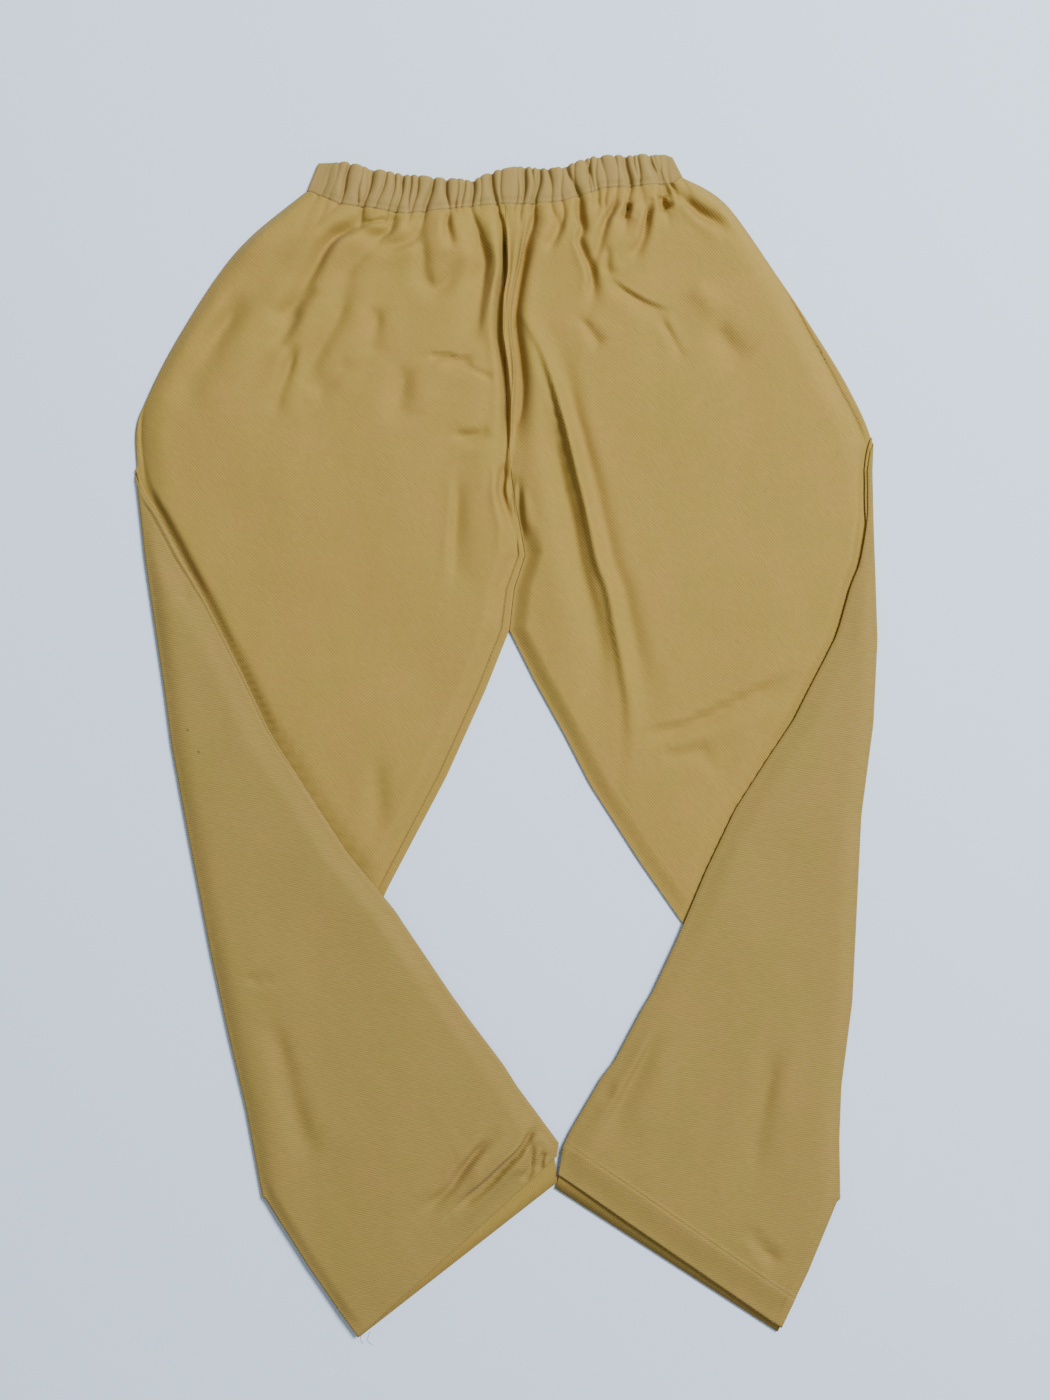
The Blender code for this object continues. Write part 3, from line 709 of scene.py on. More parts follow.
print("gathers run down", GATHER_ROWS, "rows of the table")

# %% [markdown]
# ## Height of a folded-over leg
# The back panel of a folded-over leg is the top one of four layers. It is puffed in the
# middle and lies flatter at the hem. There it steps up where the cloth is turned up,
# with a groove where the stitches run, and at the outer seam it rolls down a little.

# %% Height of a folded-over leg
FLAP_PUFF, PUFF_AT_HEM, FLAP_SLOPE = 4.0, 0.25, 15.0
FLAP_LIFT, LIFT_AT_HEM, LIFT_SLOPE = 1.0, 0.4, 8
OUTER_EASE, INNER_EASE = 20, 11
HEM_CLEAR, HEM_EASE = 2, 26
STRIP_EASE = 3
HEM_STEP, STEP_SLOPE = 0.7, 2.5
HEM_EDGE, EDGE_START = 1.2, 0.35
HEM_GROOVE, HEM_STITCHES, HEM_GROOVE_WIDTH = 0.6, 2.2, 0.9
ROLL, ROLL_WIDTH, ROLL_ROW, ROLL_HEM = 1.0, 3, 7, 20


def flap_rise(leg, u, place, width, hem_gap, x, y, d):
    """Height of the folded-over back panel above its lowest layer."""
    outer_edge, inner_edge = u * width, (1 - u) * width
    outer_strip = leg.column("back_out", place)
    body = swell(d, FLAP_SLOPE) * smooth((outer_edge - outer_strip) / OUTER_EASE)
    body = body * smooth(inner_edge / INNER_EASE)
    from_hem = smooth((hem_gap - HEM_CLEAR) / HEM_EASE)
    folds = CREASE_SHARE * crease_height(x, y, FLAP_CREASES) + waves(x, y, 9.0)
    puff = FLAP_PUFF * (PUFF_AT_HEM + (1 - PUFF_AT_HEM) * from_hem)
    rise = (puff + folds) * body
    lift = LIFT_AT_HEM + (1 - LIFT_AT_HEM) * from_hem
    rise += FLAP_LIFT * smooth(d / LIFT_SLOPE) * lift
    rise += strip_height(outer_edge, outer_strip) * smooth(d / STRIP_EASE)
    turned_up = smooth((HEM_DEPTH + 1 - hem_gap) / STEP_SLOPE)
    rise += HEM_STEP * turned_up * smooth(hem_gap / HEM_EDGE + EDGE_START)
    rise -= HEM_GROOVE * np.exp(-((hem_gap - HEM_DEPTH + HEM_STITCHES) / HEM_GROOVE_WIDTH) ** 2)
    rolled = (1 - smooth(outer_edge / ROLL_WIDTH)) * smooth(place - ROLL_ROW)
    rolled = rolled * smooth(hem_gap / ROLL_HEM)
    return np.maximum(rise, 0.0) - ROLL * rolled


print("a folded-over leg is puffed by", FLAP_PUFF, "mm")

# %% [markdown]
# ## Laying a panel
# The flat panel is laid in three parts: flat on the thigh, round the fold as a half
# circle, and back over itself upside down. The front dips where it runs under the
# folded-over leg. Near the hem, its folded-over part drops away from the back panel on
# top of it, so that the hem shows as two layers. At the waist the back panel rises a
# little under each gather.

# %% Lay a panel
EASE = 30.0
FLAP_FADE, FADE_START = 9.0, 0.8
HEM_DROP, DROP_START, DROP_LENGTH = 2.4, 6, 10
BACK_RISE, MOST_RISE = 0.45, 2
ROOM_LOFT, ROOM_SIDE = 4, 20


def lay(leg, side, u, place, t, d, hem_gap, creases):
    """Places in millimetres of all points of a panel, laid and folded."""
    low, high = LAYERS[side]
    radius = (high - low) / 2
    turn = math.pi * np.clip(d / radius, 0.0, 1.0)
    z = low + radius - radius * np.cos(turn)
    past = radius * np.exp((radius - np.maximum(d, radius)) / EASE) - d
    reach = np.where(d <= 0, d, np.where(d < radius, radius * np.sin(turn), past))
    x, y = leg.from_fold(t, reach).T
    width = leg.points(side, u, place)[1]
    over = d > radius
    if side == "front":
        open_here = d < 0
        cover = np.maximum(np.interp(t, leg.seam[:, 0], leg.seam[:, 1]), 0.0)
        shown = smooth((-d - cover + FADE_START) / FLAP_FADE)
        values = (a[open_here] for a in (u, place, width, x, y))
        z[open_here] += front_rise(leg, *values, creases) * shown[open_here]
        z[over] -= HEM_DROP * (1 - smooth((hem_gap[over] - DROP_START) / DROP_LENGTH))
    else:
        values = (a[over] for a in (u, place, width, hem_gap, x, y))
        z[over] += flap_rise(leg, *values, d[over] - radius)
        under = d <= 0
        room = smooth(leg.column("loft", place) / ROOM_LOFT) * smooth(u * width / ROOM_SIDE)
        near_waist = smooth(GATHER_ROWS - place)
        hollow = np.clip(PUFF - gather_height(x, y) * near_waist, 0, MOST_RISE)
        z[under] += (BACK_RISE * room * hollow * near_waist)[under]
    return np.stack([x, y, z], axis=-1)


print("a folded front leaves", FOLD_AIR, "mm of air between its layers")

# %% [markdown]
# ## Cutting a panel
# A panel starts as a grid. Its columns are closer together at the seams and its rows
# where the creases are, so that the points are spent where they show. bisect_plane then
# adds an edge along each step of the fold and along the hem. The layers across and place
# keep each point's place on the cut.

# %% Cut a flat panel
SEAM_SHARE = 0.1
SPLIT_REACH = 12.0
SPLIT_DISTANCE = 0.02
HEM_SPLITS = (-3.2, -2.2, -1.2, 0.0, 2.0)


def columns_of(count, outer_fineness, inner_fineness):
    """Places of columns across a panel, closer together towards its seams."""
    u = np.linspace(0, 1, 2001)
    near_outer, near_inner = 1 - smooth(u / SEAM_SHARE), 1 - smooth((1 - u) / SEAM_SHARE)
    density = 1 + (outer_fineness - 1) * near_outer + (inner_fineness - 1) * near_inner
    total = np.cumsum(density)
    return np.interp(np.linspace(total[0], total[-1], count + 1), total, u)


def rows_of(stretches):
    """Places of rows down a panel, from (first place, number of rows) and a last place."""
    places = [0.0]
    for (first, count), (last, _) in zip(stretches, stretches[1:]):
        places += list(np.linspace(first, last, count + 1)[1:])
    return places


def split(bm, point, normal, reach=None):
    """Split a flat panel along a line, or only its faces within reach of that line."""
    faces = bm.faces[:]
    if reach is not None:
        faces = [face for face in faces
                 if any(abs((vert.co - point).dot(normal)) < reach for vert in face.verts)]
    edges = {edge for face in faces for edge in face.edges}
    verts = {vert for face in faces for vert in face.verts}
    bmesh.ops.bisect_plane(bm, geom=list(verts) + list(edges) + faces,
                           dist=SPLIT_DISTANCE, plane_co=point, plane_no=normal)


def cut_flat(leg, side, columns, rows, fold_steps):
    """A flat panel, split where it will be folded, and the line of its hem."""
    bm = bmesh.new()
    bmesh.ops.create_grid(bm, x_segments=len(columns) - 1, y_segments=len(rows) - 1, size=0.5)
    grid = np.array([(vert.co.x, vert.co.y) for vert in bm.verts])
    u = columns[np.rint((grid[:, 0] + 0.5) * (len(columns) - 1)).astype(int)]
    place = np.array(rows)[np.rint((0.5 - grid[:, 1]) * (len(rows) - 1)).astype(int)]
    flat = leg.to_fold(leg.points(side, u, place)[0])
    across_layer = bm.verts.layers.float.new("across")
    place_layer = bm.verts.layers.float.new("place")
    for vert, point, across, down in zip(bm.verts, flat, u, place):
        vert.co = (point[0], point[1], 0.0)
        vert[across_layer] = across
        vert[place_layer] = down

    outer, inner = leg.ends(side)
    hem = leg.to_fold(np.array([outer[-1], inner[-1]]))
    hem_start = Vector((*hem[0], 0.0))
    up_leg = Vector((hem[1][1] - hem[0][1], hem[0][0] - hem[1][0], 0.0)).normalized()
    if up_leg.x > 0:
        up_leg.negate()
    radius = (LAYERS[side][1] - LAYERS[side][0]) / 2
    for step in range(fold_steps + 1):
        split(bm, Vector((0.0, radius * step / fold_steps, 0.0)), Vector((0, 1, 0)), SPLIT_REACH)
    for step in HEM_SPLITS:
        split(bm, hem_start + up_leg * (HEM_DEPTH + step), up_leg, SPLIT_REACH)
    return bm, hem_start, up_leg


print("the hem is split at", len(HEM_SPLITS), "lines")

# %% [markdown]
# ## Making a panel
# The flat panel becomes a mesh, and its points are moved to where they are laid. Its map
# keeps where they were on the flat cut. Solidify gives it a wall that grows inwards from
# the outer face, thicker where the hem is turned up.

# %% Make a panel
WAIST_PART = 300.0


def read_layer(mesh, name):
    """One value for every point of a mesh."""
    values = np.empty(len(mesh.vertices))
    mesh.attributes[name].data.foreach_get("value", values)
    mesh.attributes.remove(mesh.attributes[name])
    return values


def write_map(mesh, points):
    """Give the cloth its own map: each point's place on the flat cut, in metres."""
    corners = np.empty(len(mesh.loops), int)
    mesh.loops.foreach_get("vertex_index", corners)
    cloth_map = mesh.uv_layers.new(name="cut")
    cloth_map.data.foreach_set("uv", points[corners].astype(np.float32).ravel())


def make_panel(name, leg, side, columns, rows, fold_steps, creases):
    """Cut one panel, lay it and give it a wall that grows inwards from its outer face."""
    bm, hem_start, up_leg = cut_flat(leg, side, columns, rows, fold_steps)
    mesh = bpy.data.meshes.new(name)
    bm.to_mesh(mesh)
    bm.free()
    flat = np.empty(3 * len(mesh.vertices))
    mesh.vertices.foreach_get("co", flat)
    t, d = flat.reshape(-1, 3)[:, :2].T
    hem_gap = (t - hem_start.x) * up_leg.x + (d - hem_start.y) * up_leg.y
    u, place = read_layer(mesh, "across"), read_layer(mesh, "place")
    laid = lay(leg, side, u, place, t, d, hem_gap, creases)
    mesh.vertices.foreach_set("co", (laid * MM).ravel())
    write_map(mesh, leg.from_fold(t, d) * MM)
    mesh.update()

    centres, normals = np.empty(3 * len(mesh.polygons)), np.empty(3 * len(mesh.polygons))
    mesh.polygons.foreach_get("center", centres)
    mesh.polygons.foreach_get("normal", normals)
    facing_up = normals[2::3][centres[1::3] > WAIST_PART * MM].sum() > 0
    if facing_up != (side == "front"):
        mesh.flip_normals()
    mesh.shade_smooth()
    obj = bpy.data.objects.new(name, mesh)
    bpy.context.scene.collection.objects.link(obj)
    turn_up = obj.vertex_groups.new(name="turn_up")
    in_hem = np.nonzero(hem_gap < HEM_DEPTH + 1)[0]
    turn_up.add([int(i) for i in in_hem], 1.0, "REPLACE")
    wall = obj.modifiers.new("wall", "SOLIDIFY")
    wall.thickness = TURN_UP * MM
    wall.offset = -1.0
    wall.vertex_group = "turn_up"
    wall.thickness_vertex_group = CLOTH / TURN_UP
    print(name, "has", len(mesh.polygons), "faces of cloth")
    return obj


print("the wall is", CLOTH, "mm thick, and", TURN_UP, "mm at the hem")

# %% [markdown]
# ## The four panels
# The fronts are finest above the crotch, where the gathers and creases are, and coarse
# where they are hidden under the folded legs. The backs are the other way round, because
# only their folded-over half shows.

# %% The four panels
LEFT_FRONT_ROWS = rows_of([(0, 24), (1, 22), (2, 25), (3, 58), (6, 26), (7, 24), (9, 46),
                           (13, 16), (18, 0)])
RIGHT_FRONT_ROWS = rows_of([(0, 24), (1, 22), (2, 25), (3, 58), (6, 26), (7, 24), (9, 46),
                            (14, 16), (20, 0)])
LEFT_BACK_ROWS = rows_of([(0, 14), (2, 10), (6, 24), (9, 80), (15, 30), (16, 32), (17, 22),
                          (18, 0)])
RIGHT_BACK_ROWS = rows_of([(0, 14), (2, 10), (6, 24), (9, 112), (19, 26), (20, 0)])
FRONT_COLUMNS = columns_of(168, 2.2, 4.2)
BACK_COLUMNS = columns_of(112, 2.6, 1.6)
FRONT_FOLD_STEPS, BACK_FOLD_STEPS = 3, 8

front_left = make_panel("front_left_cloth", LEFT, "front", FRONT_COLUMNS, LEFT_FRONT_ROWS,
                        FRONT_FOLD_STEPS, CENTRE_CREASES + LEFT_CREASES)
front_right = make_panel("front_right_cloth", RIGHT, "front", FRONT_COLUMNS, RIGHT_FRONT_ROWS,
                         FRONT_FOLD_STEPS, CENTRE_CREASES + RIGHT_CREASES)
back_left = make_panel("back_left_cloth", LEFT, "back", BACK_COLUMNS, LEFT_BACK_ROWS,
                       BACK_FOLD_STEPS, [])
back_right = make_panel("back_right_cloth", RIGHT, "back", BACK_COLUMNS, RIGHT_BACK_ROWS,
                        BACK_FOLD_STEPS, [])

# %% [markdown]
# ## The waist casing
# The casing is a strip folded over elastic, sewn to a loop and pressed flat. Its section
# is a slim ring with a rounded top and bottom edge. A grid has one column for each
# station round the loop and one row for each point of the ring.

# %% Stations and section of the casing
FRONT_STATIONS, BACK_STATIONS, END_STATIONS = 420, 210, 10
SECTION_OUTER, SECTION_ROUND, SECTION_INNER = 15, 5, 6


def casing_stations():
    """Stations round the flattened casing: share from left to right, and the turn."""
    up, half = math.pi / 2, math.pi
    front = [(i / FRONT_STATIONS, up) for i in range(FRONT_STATIONS)]
    right = [(1.0, up - half * i / END_STATIONS) for i in range(END_STATIONS)]
    back = [(1 - i / BACK_STATIONS, -up) for i in range(BACK_STATIONS)]
    left = [(0.0, -up - half * i / END_STATIONS) for i in range(END_STATIONS + 1)]
    return np.array(front + right + back + left)


def casing_section():
    """Ring of the casing's wall: share of the way down, depth in the wall, end overhang."""
    ring = [(i / SECTION_OUTER, 0.0, 0.0) for i in range(SECTION_OUTER)]
    half = CASING / 2
    ring += [(1.0, 0.0, half), (1.0, CASING, half)]
    ring += [(1 - i / SECTION_INNER, CASING, 0.0) for i in range(1, SECTION_INNER)]
    for i in range(SECTION_ROUND + 1):
        angle = math.pi * i / SECTION_ROUND
        ring.append((0.0, half + half * math.cos(angle), -half * math.sin(angle)))
    return np.array(ring)


stations, section = casing_stations(), casing_section()
band_bm = bmesh.new()
bmesh.ops.create_grid(band_bm, x_segments=len(stations) - 1, y_segments=len(section) - 1, size=0.5)
grid = np.array([(vert.co.x, vert.co.y) for vert in band_bm.verts])
share, turn = stations[np.rint((grid[:, 0] + 0.5) * (len(stations) - 1)).astype(int)].T
down, depth, over = section[np.rint((0.5 - grid[:, 1]) * (len(section) - 1)).astype(int)].T
print(len(stations), "stations round the casing, with", len(section), "points each")

# %% [markdown]
# The grid is bent to the flattened loop one way and to the ring the other way. The front
# half puffs out between the gathers and its top edge rises with them. A groove follows
# the stitches above the lower edge. The hidden back half is puffed only a little, and
# near both ends everything eases off.

# %% Shape of the casing
SCALLOP, SCALLOP_LEVEL = 1.6, 0.75
SEAM_GROOVE, SEAM_GROOVE_WIDTH, SEAM_STITCHES = 1.3, 1.7, 2.2
TOP_ROLL, TOP_ROLL_WIDTH = 0.8, 3
BACK_PUFF, MOST_BACK_PUFF, BACK_SHIFT = 0.5, 1, 10
END_EASE = 12


def between_ends(edge_x):
    """Place along an edge of the casing, clear of the half circle at each end."""
    return edge_x[0] + radius + (edge_x[-1] - edge_x[0] - 2 * radius) * share


radius = CASING_TOP / 2
ends = smooth(END_EASE * share) * smooth(END_EASE * (1 - share))
in_front, behind = turn == math.pi / 2, np.isclose(turn, -math.pi / 2)
top_x, bottom_x = between_ends(TOP_X), between_ends(BOTTOM_X)
edge_y = np.interp(top_x, TOP_X, TOP_Y)
scallop = SCALLOP * (gather_height(top_x, edge_y) / PUFF - SCALLOP_LEVEL) * in_front * ends
top_y = edge_y - CASING / 2 + scallop
bottom_y = np.interp(bottom_x, BOTTOM_X, BOTTOM_Y) + CASING / 2
band_x = top_x + (bottom_x - top_x) * down + (radius - depth) * np.cos(turn)
band_y = top_y + (bottom_y - top_y) * down - over
band_z = radius + (radius - depth) * np.sin(turn)
puffs = gather_height(band_x, band_y) * ends
groove = SEAM_GROOVE * np.exp(-((band_y - bottom_y - SEAM_STITCHES) / SEAM_GROOVE_WIDTH) ** 2)
top_roll = TOP_ROLL * smooth(1 - (top_y + CASING / 2 - band_y) / TOP_ROLL_WIDTH)
band_z += np.where(in_front, puffs - (groove + top_roll) * ends, 0.0)
hollow = np.clip(PUFF - gather_height(-band_x - BACK_SHIFT, band_y), 0, MOST_BACK_PUFF)
band_z += np.where(behind, BACK_PUFF * hollow * ends, 0.0)
print("casing reaches", round(float(band_z.max()), 1), "mm up")

# %% [markdown]
# remove_doubles closes the grid both ways. The map runs round the loop as the strip was
# before it was gathered, so the twill on it is drawn together.

# %% Mesh of the casing
LOOP, BAND_HEIGHT = 0.62, 0.032
FULLNESS = 1.9

for vert, *place in zip(band_bm.verts, band_x * MM, band_y * MM, band_z * MM):
    vert.co = place
band_map = band_bm.loops.layers.uv.new("cut")
round_loop = np.where(turn > 0, share * (LOOP / 2), LOOP - share * (LOOP / 2))
for face in band_bm.faces:
    for corner in face.loops:
        i = corner.vert.index
        corner[band_map].uv = (round_loop[i] * FULLNESS, depth[i] * MM - down[i] * BAND_HEIGHT)
bmesh.ops.remove_doubles(band_bm, verts=band_bm.verts, dist=0.005 * MM)
band_bm.normal_update()
front_face = max(band_bm.faces, key=lambda face: face.calc_center_median().z)
if front_face.normal.z < 0:
    bmesh.ops.reverse_faces(band_bm, faces=band_bm.faces)
band_mesh = bpy.data.meshes.new("waistband_cloth")
band_bm.to_mesh(band_mesh)
band_bm.free()
band_mesh.shade_smooth()
waistband = bpy.data.objects.new("waistband_cloth", band_mesh)
bpy.context.scene.collection.objects.link(waistband)
print("casing has", len(band_mesh.polygons), "faces")

# %% [markdown]
# ## Thread
# The casing, the seams and the hems are sewn with thread in the cloth's own colour. Each
# stitch is a small slim ball drawn out along the seam and pressed into the cloth. A ray
# from above finds the cloth's surface, so the stitches follow every fold. A few cut ends
# of thread hang out at the hems and at the side seam.

# %% Seam lines and loose ends
SEAM_LINES = {
    "inseam_thread": ("front_left", [(14, 152), (1, 132), (-3, 112), (-11, 80), (-31, 35),
                                     (-59, -26), (-79, -68), (-102, -115)]),
    "left_hem_thread": ("back_left", [(-135, -456), (-116, -443), (-64, -400), (-41, -379),
                                      (-11, -353), (3, -336)]),
    "right_hem_thread": ("back_right", [(46, -333), (83, -357), (111, -376), (143, -396),
                                        (163, -408), (190, -425), (213, -439), (231, -445)]),
    "side_seam_thread": ("front_right", [(249, 338), (261, 321), (271, 299), (283, 279),
                                         (294, 254)]),
    "casing_thread": ("waistband", [(x, y + 1.5) for x, y in
                                    zip(BOTTOM_X[1:-1], BOTTOM_Y[1:-1])]),
}
LOOSE_ENDS = {
    "left_hem_thread": [[(-117, -482), (-121, -489), (-119, -494)],
                        [(-113, -484), (-115, -491), (-111, -495)]],
    "right_hem_thread": [[(197, -463), (201, -468), (207, -467)],
                         [(206, -467), (210, -473), (217, -472), (220, -477)]],
    "side_seam_thread": [[(254, 331), (258, 328), (260, 323)]],
}
CLOTHS = {"front_left": front_left, "front_right": front_right, "back_left": back_left,
          "back_right": back_right, "waistband": waistband}
print(len(SEAM_LINES), "sewn lines and", sum(map(len, LOOSE_ENDS.values())), "loose ends")

# %% Stitches
STITCH, STITCH_STEP, STITCH_RISE, LONGEST_STEP = 2.6, 3.3, 0.08, 2.5
THREAD = 0.42
LOOSE_STEP, LOOSE_RADIUS, LOOSE_RISE = 0.5, 0.22, 0.25
SKY_HEIGHT = 0.1
STRAIGHT_DOWN = Vector((0, 0, -1))


def walk(path, step):
    """Points at even steps along a rounded path."""
    line = rounded_path(path)
    lengths = np.concatenate([[0], np.cumsum(np.linalg.norm(np.diff(line, axis=0), axis=1))])
    at = np.arange(step / 2, lengths[-1], step)
    return np.stack([np.interp(at, lengths, line[:, k]) for k in range(2)], axis=-1)


def drop(finder, x, y):
    """Where a ray from above meets the cloth, and which way the cloth faces there."""
    return finder.ray_cast(Vector((x * MM, y * MM, SKY_HEIGHT)), STRAIGHT_DOWN)[:2]


def sew(name, cloth, path):
    """A row of stitches on a piece of cloth, made as one mesh."""
    finder = BVHTree.FromObject(CLOTHS[cloth], bpy.context.evaluated_depsgraph_get())
    bm = bmesh.new()
    stops = walk(path, STITCH_STEP)
    for here, ahead in zip(stops, stops[1:]):
        (hit, normal), next_hit = drop(finder, *here), drop(finder, *ahead)[0]
        if hit is None or next_hit is None:
            continue
        if (hit - next_hit).length > LONGEST_STEP * STITCH_STEP * MM:
            continue
        along = (next_hit - hit).normalized()
        across = normal.cross(along).normalized()
        up = along.cross(across)
        axes = Matrix((along, across, up)).transposed().to_4x4()
        size = Matrix.Diagonal((STITCH / 2 * MM, THREAD / 2 * MM, THREAD / 2 * MM, 1))
        centre = (hit + next_hit) / 2 + up * STITCH_RISE * MM
        bmesh.ops.create_uvsphere(bm, u_segments=6, v_segments=5, radius=1.0,
                                  matrix=Matrix.Translation(centre) @ axes @ size)
    for loose in LOOSE_ENDS.get(name, []):
        for x, y in walk(loose, LOOSE_STEP):
            hit = drop(finder, x, y)[0]
            height = (hit.z if hit else 0.0) + LOOSE_RISE * MM
            bmesh.ops.create_icosphere(bm, subdivisions=1, radius=LOOSE_RADIUS * MM,
                                       matrix=Matrix.Translation((x * MM, y * MM, height)))
    mesh = bpy.data.meshes.new(name)
    bm.to_mesh(mesh)
    bm.free()
    mesh.shade_smooth()
    obj = bpy.data.objects.new(name, mesh)
    bpy.context.scene.collection.objects.link(obj)
    print(name, "has", len(stops), "stitches")
    return obj


threads = {name: (cloth, sew(name, cloth, path)) for name, (cloth, path) in SEAM_LINES.items()}

# %% [markdown]
# ## Shader sums
# A material is a net of nodes, but its maths reads better as plain sums. Number wraps one
# socket, and each sum on it adds a Math node. Finish holds one material and adds any
# other node: its settings are set first, and then the values or links of its sockets.

# %% Shader sums


class Number:
    """A value that varies over the cloth, for use in plain sums."""

    def __init__(self, finish, socket):
        self.finish = finish
        self.socket = socket

    def sum(self, operation, first, second):
        return self.finish.number("ShaderNodeMath", {"operation": operation}, {0: first, 1: second})

    def __add__(self, other):
        return self.sum("ADD", self, other)

    def __radd__(self, other):
        return self.sum("ADD", other, self)

    def __sub__(self, other):
        return self.sum("SUBTRACT", self, other)

    def __rsub__(self, other):
        return self.sum("SUBTRACT", other, self)

    def __mul__(self, other):
        return self.sum("MULTIPLY", self, other)

    def __rmul__(self, other):
        return self.sum("MULTIPLY", other, self)


class Finish:
    """One material and its nodes."""

    def __init__(self, name):
        self.material = bpy.data.materials.new(name)
        self.material.use_nodes = True
        self.tree = self.material.node_tree
        self.shader = self.tree.nodes["Principled BSDF"]

    def node(self, kind, settings=None, values=None):
        """Add a node, set it up, and give its sockets their values or links."""
        node = self.tree.nodes.new(kind)
        for setting, value in (settings or {}).items():
            setattr(node, setting, value)
        for socket, value in (values or {}).items():
            self.feed(node.inputs[socket], value)
        return node

    def feed(self, socket, value):
        """Set a socket to a number or a colour, or link a varying value to it."""
        if isinstance(value, Number):
            self.tree.links.new(value.socket, socket)
        elif isinstance(value, bpy.types.NodeSocket):
            self.tree.links.new(value, socket)
        else:
            socket.default_value = value

    def number(self, kind, settings=None, values=None, output=0):
        """Add a node and take one of its outputs as a number for sums."""
        return Number(self, self.node(kind, settings, values).outputs[output])

    def mix(self, factor, first, second):
        """Mix two colours by a factor."""
        node = self.node("ShaderNodeMix", {"data_type": "RGBA"}, {0: factor, 6: first, 7: second})
        return node.outputs[2]


print("shader sums are ready")

# %% [markdown]
# ## Cotton twill
# Twill shows as fine slanting ridges. The pattern reads the cloth's own map, so it bends
# and turns with the folds. One wave makes the ridges and a second, finer one the threads
# that cross them. Noise drawn out along the yarns makes the thick and thin places of
# spun cotton, and slow noise shifts the khaki a little to olive and to pink. The ridges
# feed a bump, and a soft sheen stands for the nap. Two dark specks of lint are caught in
# the left folded-over leg. The slants at the end make the ridges run down to the right on
# the fronts and nearly level on the folded-over legs, as they come to lie.

# %% Cotton twill
TWILL_STEP, CROSS_STEP = 1.8 * MM, 1.9 * MM
SLUB_SIZE, GRAIN_SIZE = (7 * MM, 1.2 * MM), (1.7 * MM, 1.1 * MM)
CLOUD_SIZE, BLUSH_SIZE = (55 * MM, 80 * MM), (38 * MM, 30 * MM)
DARKER, LIGHTER = 0.17, 0.15
OLIVE, PINK = (0.95, 0.995, 0.92), (1.05, 0.985, 1.08)
ROUGHNESS, ROUGHNESS_DROP = 0.86, 0.06
BUMP_STRENGTH, BUMP_HEIGHT = 0.55, 0.22 * MM
SHEEN_TINT = (1.0, 0.95, 0.82, 1.0)
SPECK_COLOUR = (0.05, 0.08, 0.035, 1.0)
SPECK_CORE, SPECK_EDGE, SPECK_STRENGTH = 0.6 * MM, 1.4 * MM, 0.75


def wave(finish, position, step, wobble):
    """A wave from 0 to 1 that repeats at every step."""
    angle = position * (2 * math.pi / step) + wobble
    return finish.number("ShaderNodeMath", {"operation": "SINE"}, {0: angle}) * 0.5 + 0.5


def stretched_noise(finish, position, size, detail):
    """Noise drawn out to a size (x, y) in metres on the cloth's map."""
    scaled = finish.node("ShaderNodeVectorMath", {"operation": "MULTIPLY"},
                         {0: position, 1: (1 / size[0], 1 / size[1], 1.0)})
    return finish.number("ShaderNodeTexNoise", {}, {
        "Vector": scaled.outputs[0], "Scale": 1.0, "Detail": detail, "Roughness": 0.55})


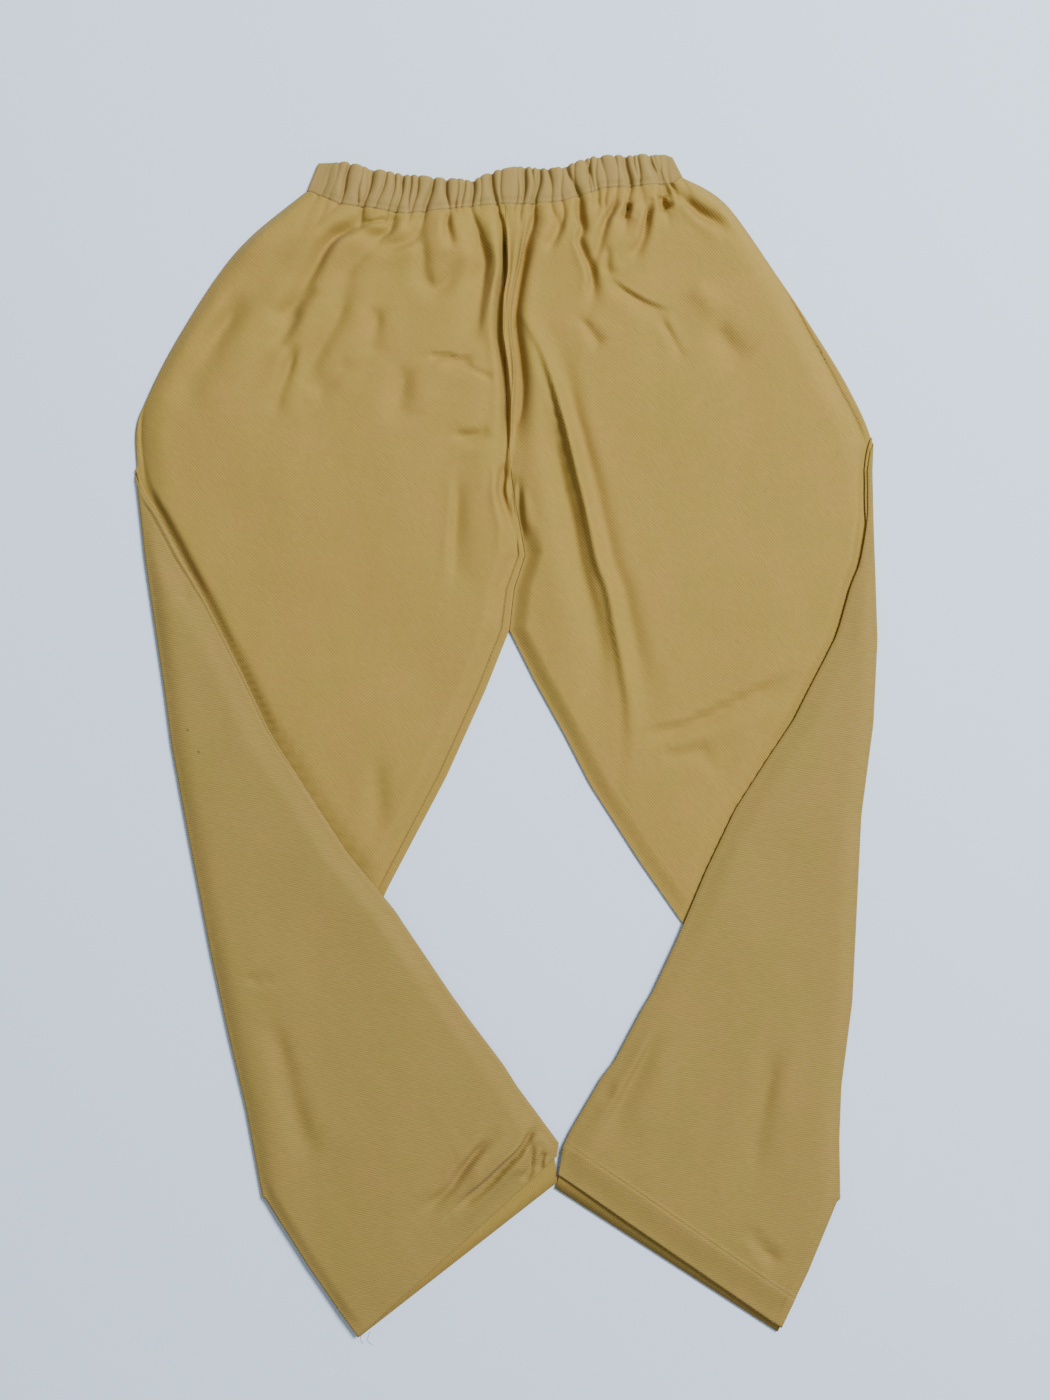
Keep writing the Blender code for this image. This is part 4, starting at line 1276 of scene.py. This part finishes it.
def twill(name, colour, slant, contrast=1.0, specks=()):
    """Khaki twill whose ridges run at a slant, in degrees, on the cloth's map."""
    finish = Finish(name)
    cut = finish.node("ShaderNodeUVMap", {"uv_map": "cut"})
    turned = finish.node("ShaderNodeMapping", {"vector_type": "POINT"}, {
        "Vector": cut.outputs[0], "Rotation": (0.0, 0.0, math.radians(-slant))})
    along_across = finish.node("ShaderNodeSeparateXYZ", {}, {0: turned.outputs[0]})
    along, across = (Number(finish, along_across.outputs[k]) for k in range(2))

    slub = stretched_noise(finish, turned.outputs[0], SLUB_SIZE, 2.0)
    grain = stretched_noise(finish, turned.outputs[0], GRAIN_SIZE, 1.0)
    cloud = stretched_noise(finish, cut.outputs[0], CLOUD_SIZE, 2.0)
    blush = stretched_noise(finish, cut.outputs[0], BLUSH_SIZE, 1.0)
    ridges = wave(finish, across, TWILL_STEP, slub * 3.4)
    threads_across = wave(finish, along, CROSS_STEP, grain * 3.0)
    relief = ridges * 0.75 + threads_across * 0.2 + slub * 0.9 + grain * 0.4

    deep = tuple(c * (1 - DARKER * contrast) for c in colour) + (1.0,)
    high = tuple(c * (1 + LIGHTER * contrast) for c in colour) + (1.0,)
    base = finish.mix(relief * 1.1 - 0.75, deep, high)
    olive = finish.node("ShaderNodeVectorMath", {"operation": "MULTIPLY"},
                        {0: base, 1: OLIVE})
    pink = finish.node("ShaderNodeVectorMath", {"operation": "MULTIPLY"},
                       {0: base, 1: PINK})
    tone = (cloud - 0.5) * 1.5 + (blush - 0.5) * 1.0 + 0.5
    toned = finish.mix(tone, olive.outputs[0], pink.outputs[0])
    for x, y in specks:
        gap = finish.node("ShaderNodeVectorMath", {"operation": "DISTANCE"},
                          {0: cut.outputs[0], 1: (x * MM, y * MM, 0.0)})
        near = finish.number("ShaderNodeMapRange", {}, {
            "Value": gap.outputs["Value"], "From Min": SPECK_CORE, "From Max": SPECK_EDGE,
            "To Min": SPECK_STRENGTH, "To Max": 0.0})
        toned = finish.mix(near, toned, SPECK_COLOUR)
    bump = finish.node("ShaderNodeBump", {}, {
        "Strength": BUMP_STRENGTH, "Distance": BUMP_HEIGHT, "Height": relief})
    finish.feed(finish.shader.inputs["Base Color"], toned)
    finish.feed(finish.shader.inputs["Normal"], bump.outputs[0])
    finish.feed(finish.shader.inputs["Roughness"], ROUGHNESS - ROUGHNESS_DROP * relief)
    finish.shader.inputs["Specular IOR Level"].default_value = 0.15
    finish.shader.inputs["Sheen Weight"].default_value = 0.06
    finish.shader.inputs["Sheen Roughness"].default_value = 0.5
    finish.shader.inputs["Sheen Tint"].default_value = SHEEN_TINT
    return finish.material


KHAKI = (0.345, 0.217, 0.044)
KHAKI_BACK = (0.298, 0.194, 0.046)
KHAKI_CASING = (0.325, 0.215, 0.06)
SPECKS = [(-290.0, 8.1), (-292.6, -12.0)]
twill_front = twill("twill_front_cloth", KHAKI, -47)
twill_back_left = twill("twill_back_left_cloth", KHAKI_BACK, 32, specks=SPECKS)
twill_back_right = twill("twill_back_right_cloth", KHAKI_BACK, 5)
twill_casing = twill("twill_casing_cloth", KHAKI_CASING, -40, 0.8)
print("four twill finishes")

# %% [markdown]
# The sewing thread is a cotton in the same khaki, and fine noise makes it uneven.

# %% Sewing thread
def thread_finish(name, colour):
    """Sewing thread, darker here and there."""
    finish = Finish(name)
    place = finish.node("ShaderNodeTexCoord")
    uneven = finish.number("ShaderNodeTexNoise", {}, {
        "Vector": place.outputs["Object"], "Scale": 900.0, "Detail": 1.0})
    dark = tuple(c * 0.8 for c in colour) + (1.0,)
    finish.feed(finish.shader.inputs["Base Color"], finish.mix(uneven, dark, (*colour, 1.0)))
    finish.shader.inputs["Roughness"].default_value = 0.7
    finish.shader.inputs["Sheen Weight"].default_value = 0.1
    return finish.material


THREAD_COLOUR = (0.40, 0.28, 0.115)
khaki_thread = thread_finish("khaki_thread", THREAD_COLOUR)
print("thread finish is ready")

# %% [markdown]
# ## Putting it together
# Each piece gets its finish, rides on the garment's one body and stands for its solid.
# Each panel's cut size is looked up in a table, but nothing is done with it, and the rows
# of stitches go with the cloth they are sewn on.

FINISHES = {"front_left": (twill_front, "twill_front"), "front_right": (twill_front, "twill_front"),
            "back_left": (twill_back_left, "twill_back"),
            "back_right": (twill_back_right, "twill_back"),
            "waistband": (twill_casing, "twill_casing")}
CUTS = {"front_left": (0.324, 0.998, 0.2488), "front_right": (0.322, 1.012, 0.2422),
        "back_left": (0.326, 1.000, 0.2493), "back_right": (0.322, 1.010, 0.2423)}

for name, cloth in CLOTHS.items():
    finish, slot = FINISHES[name]
    cloth.data.materials.append(finish)
    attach(cloth, "root")
    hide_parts(name)
    rows = [obj for sewn_on, obj in threads.values() if sewn_on == name]
    for row in rows:
        row.data.materials.append(khaki_thread)
        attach(row, "root")
    if name in CUTS:
        width, length, area = CUTS[name]
print(len(CLOTHS), "cloths and", len(threads), "rows of stitches")
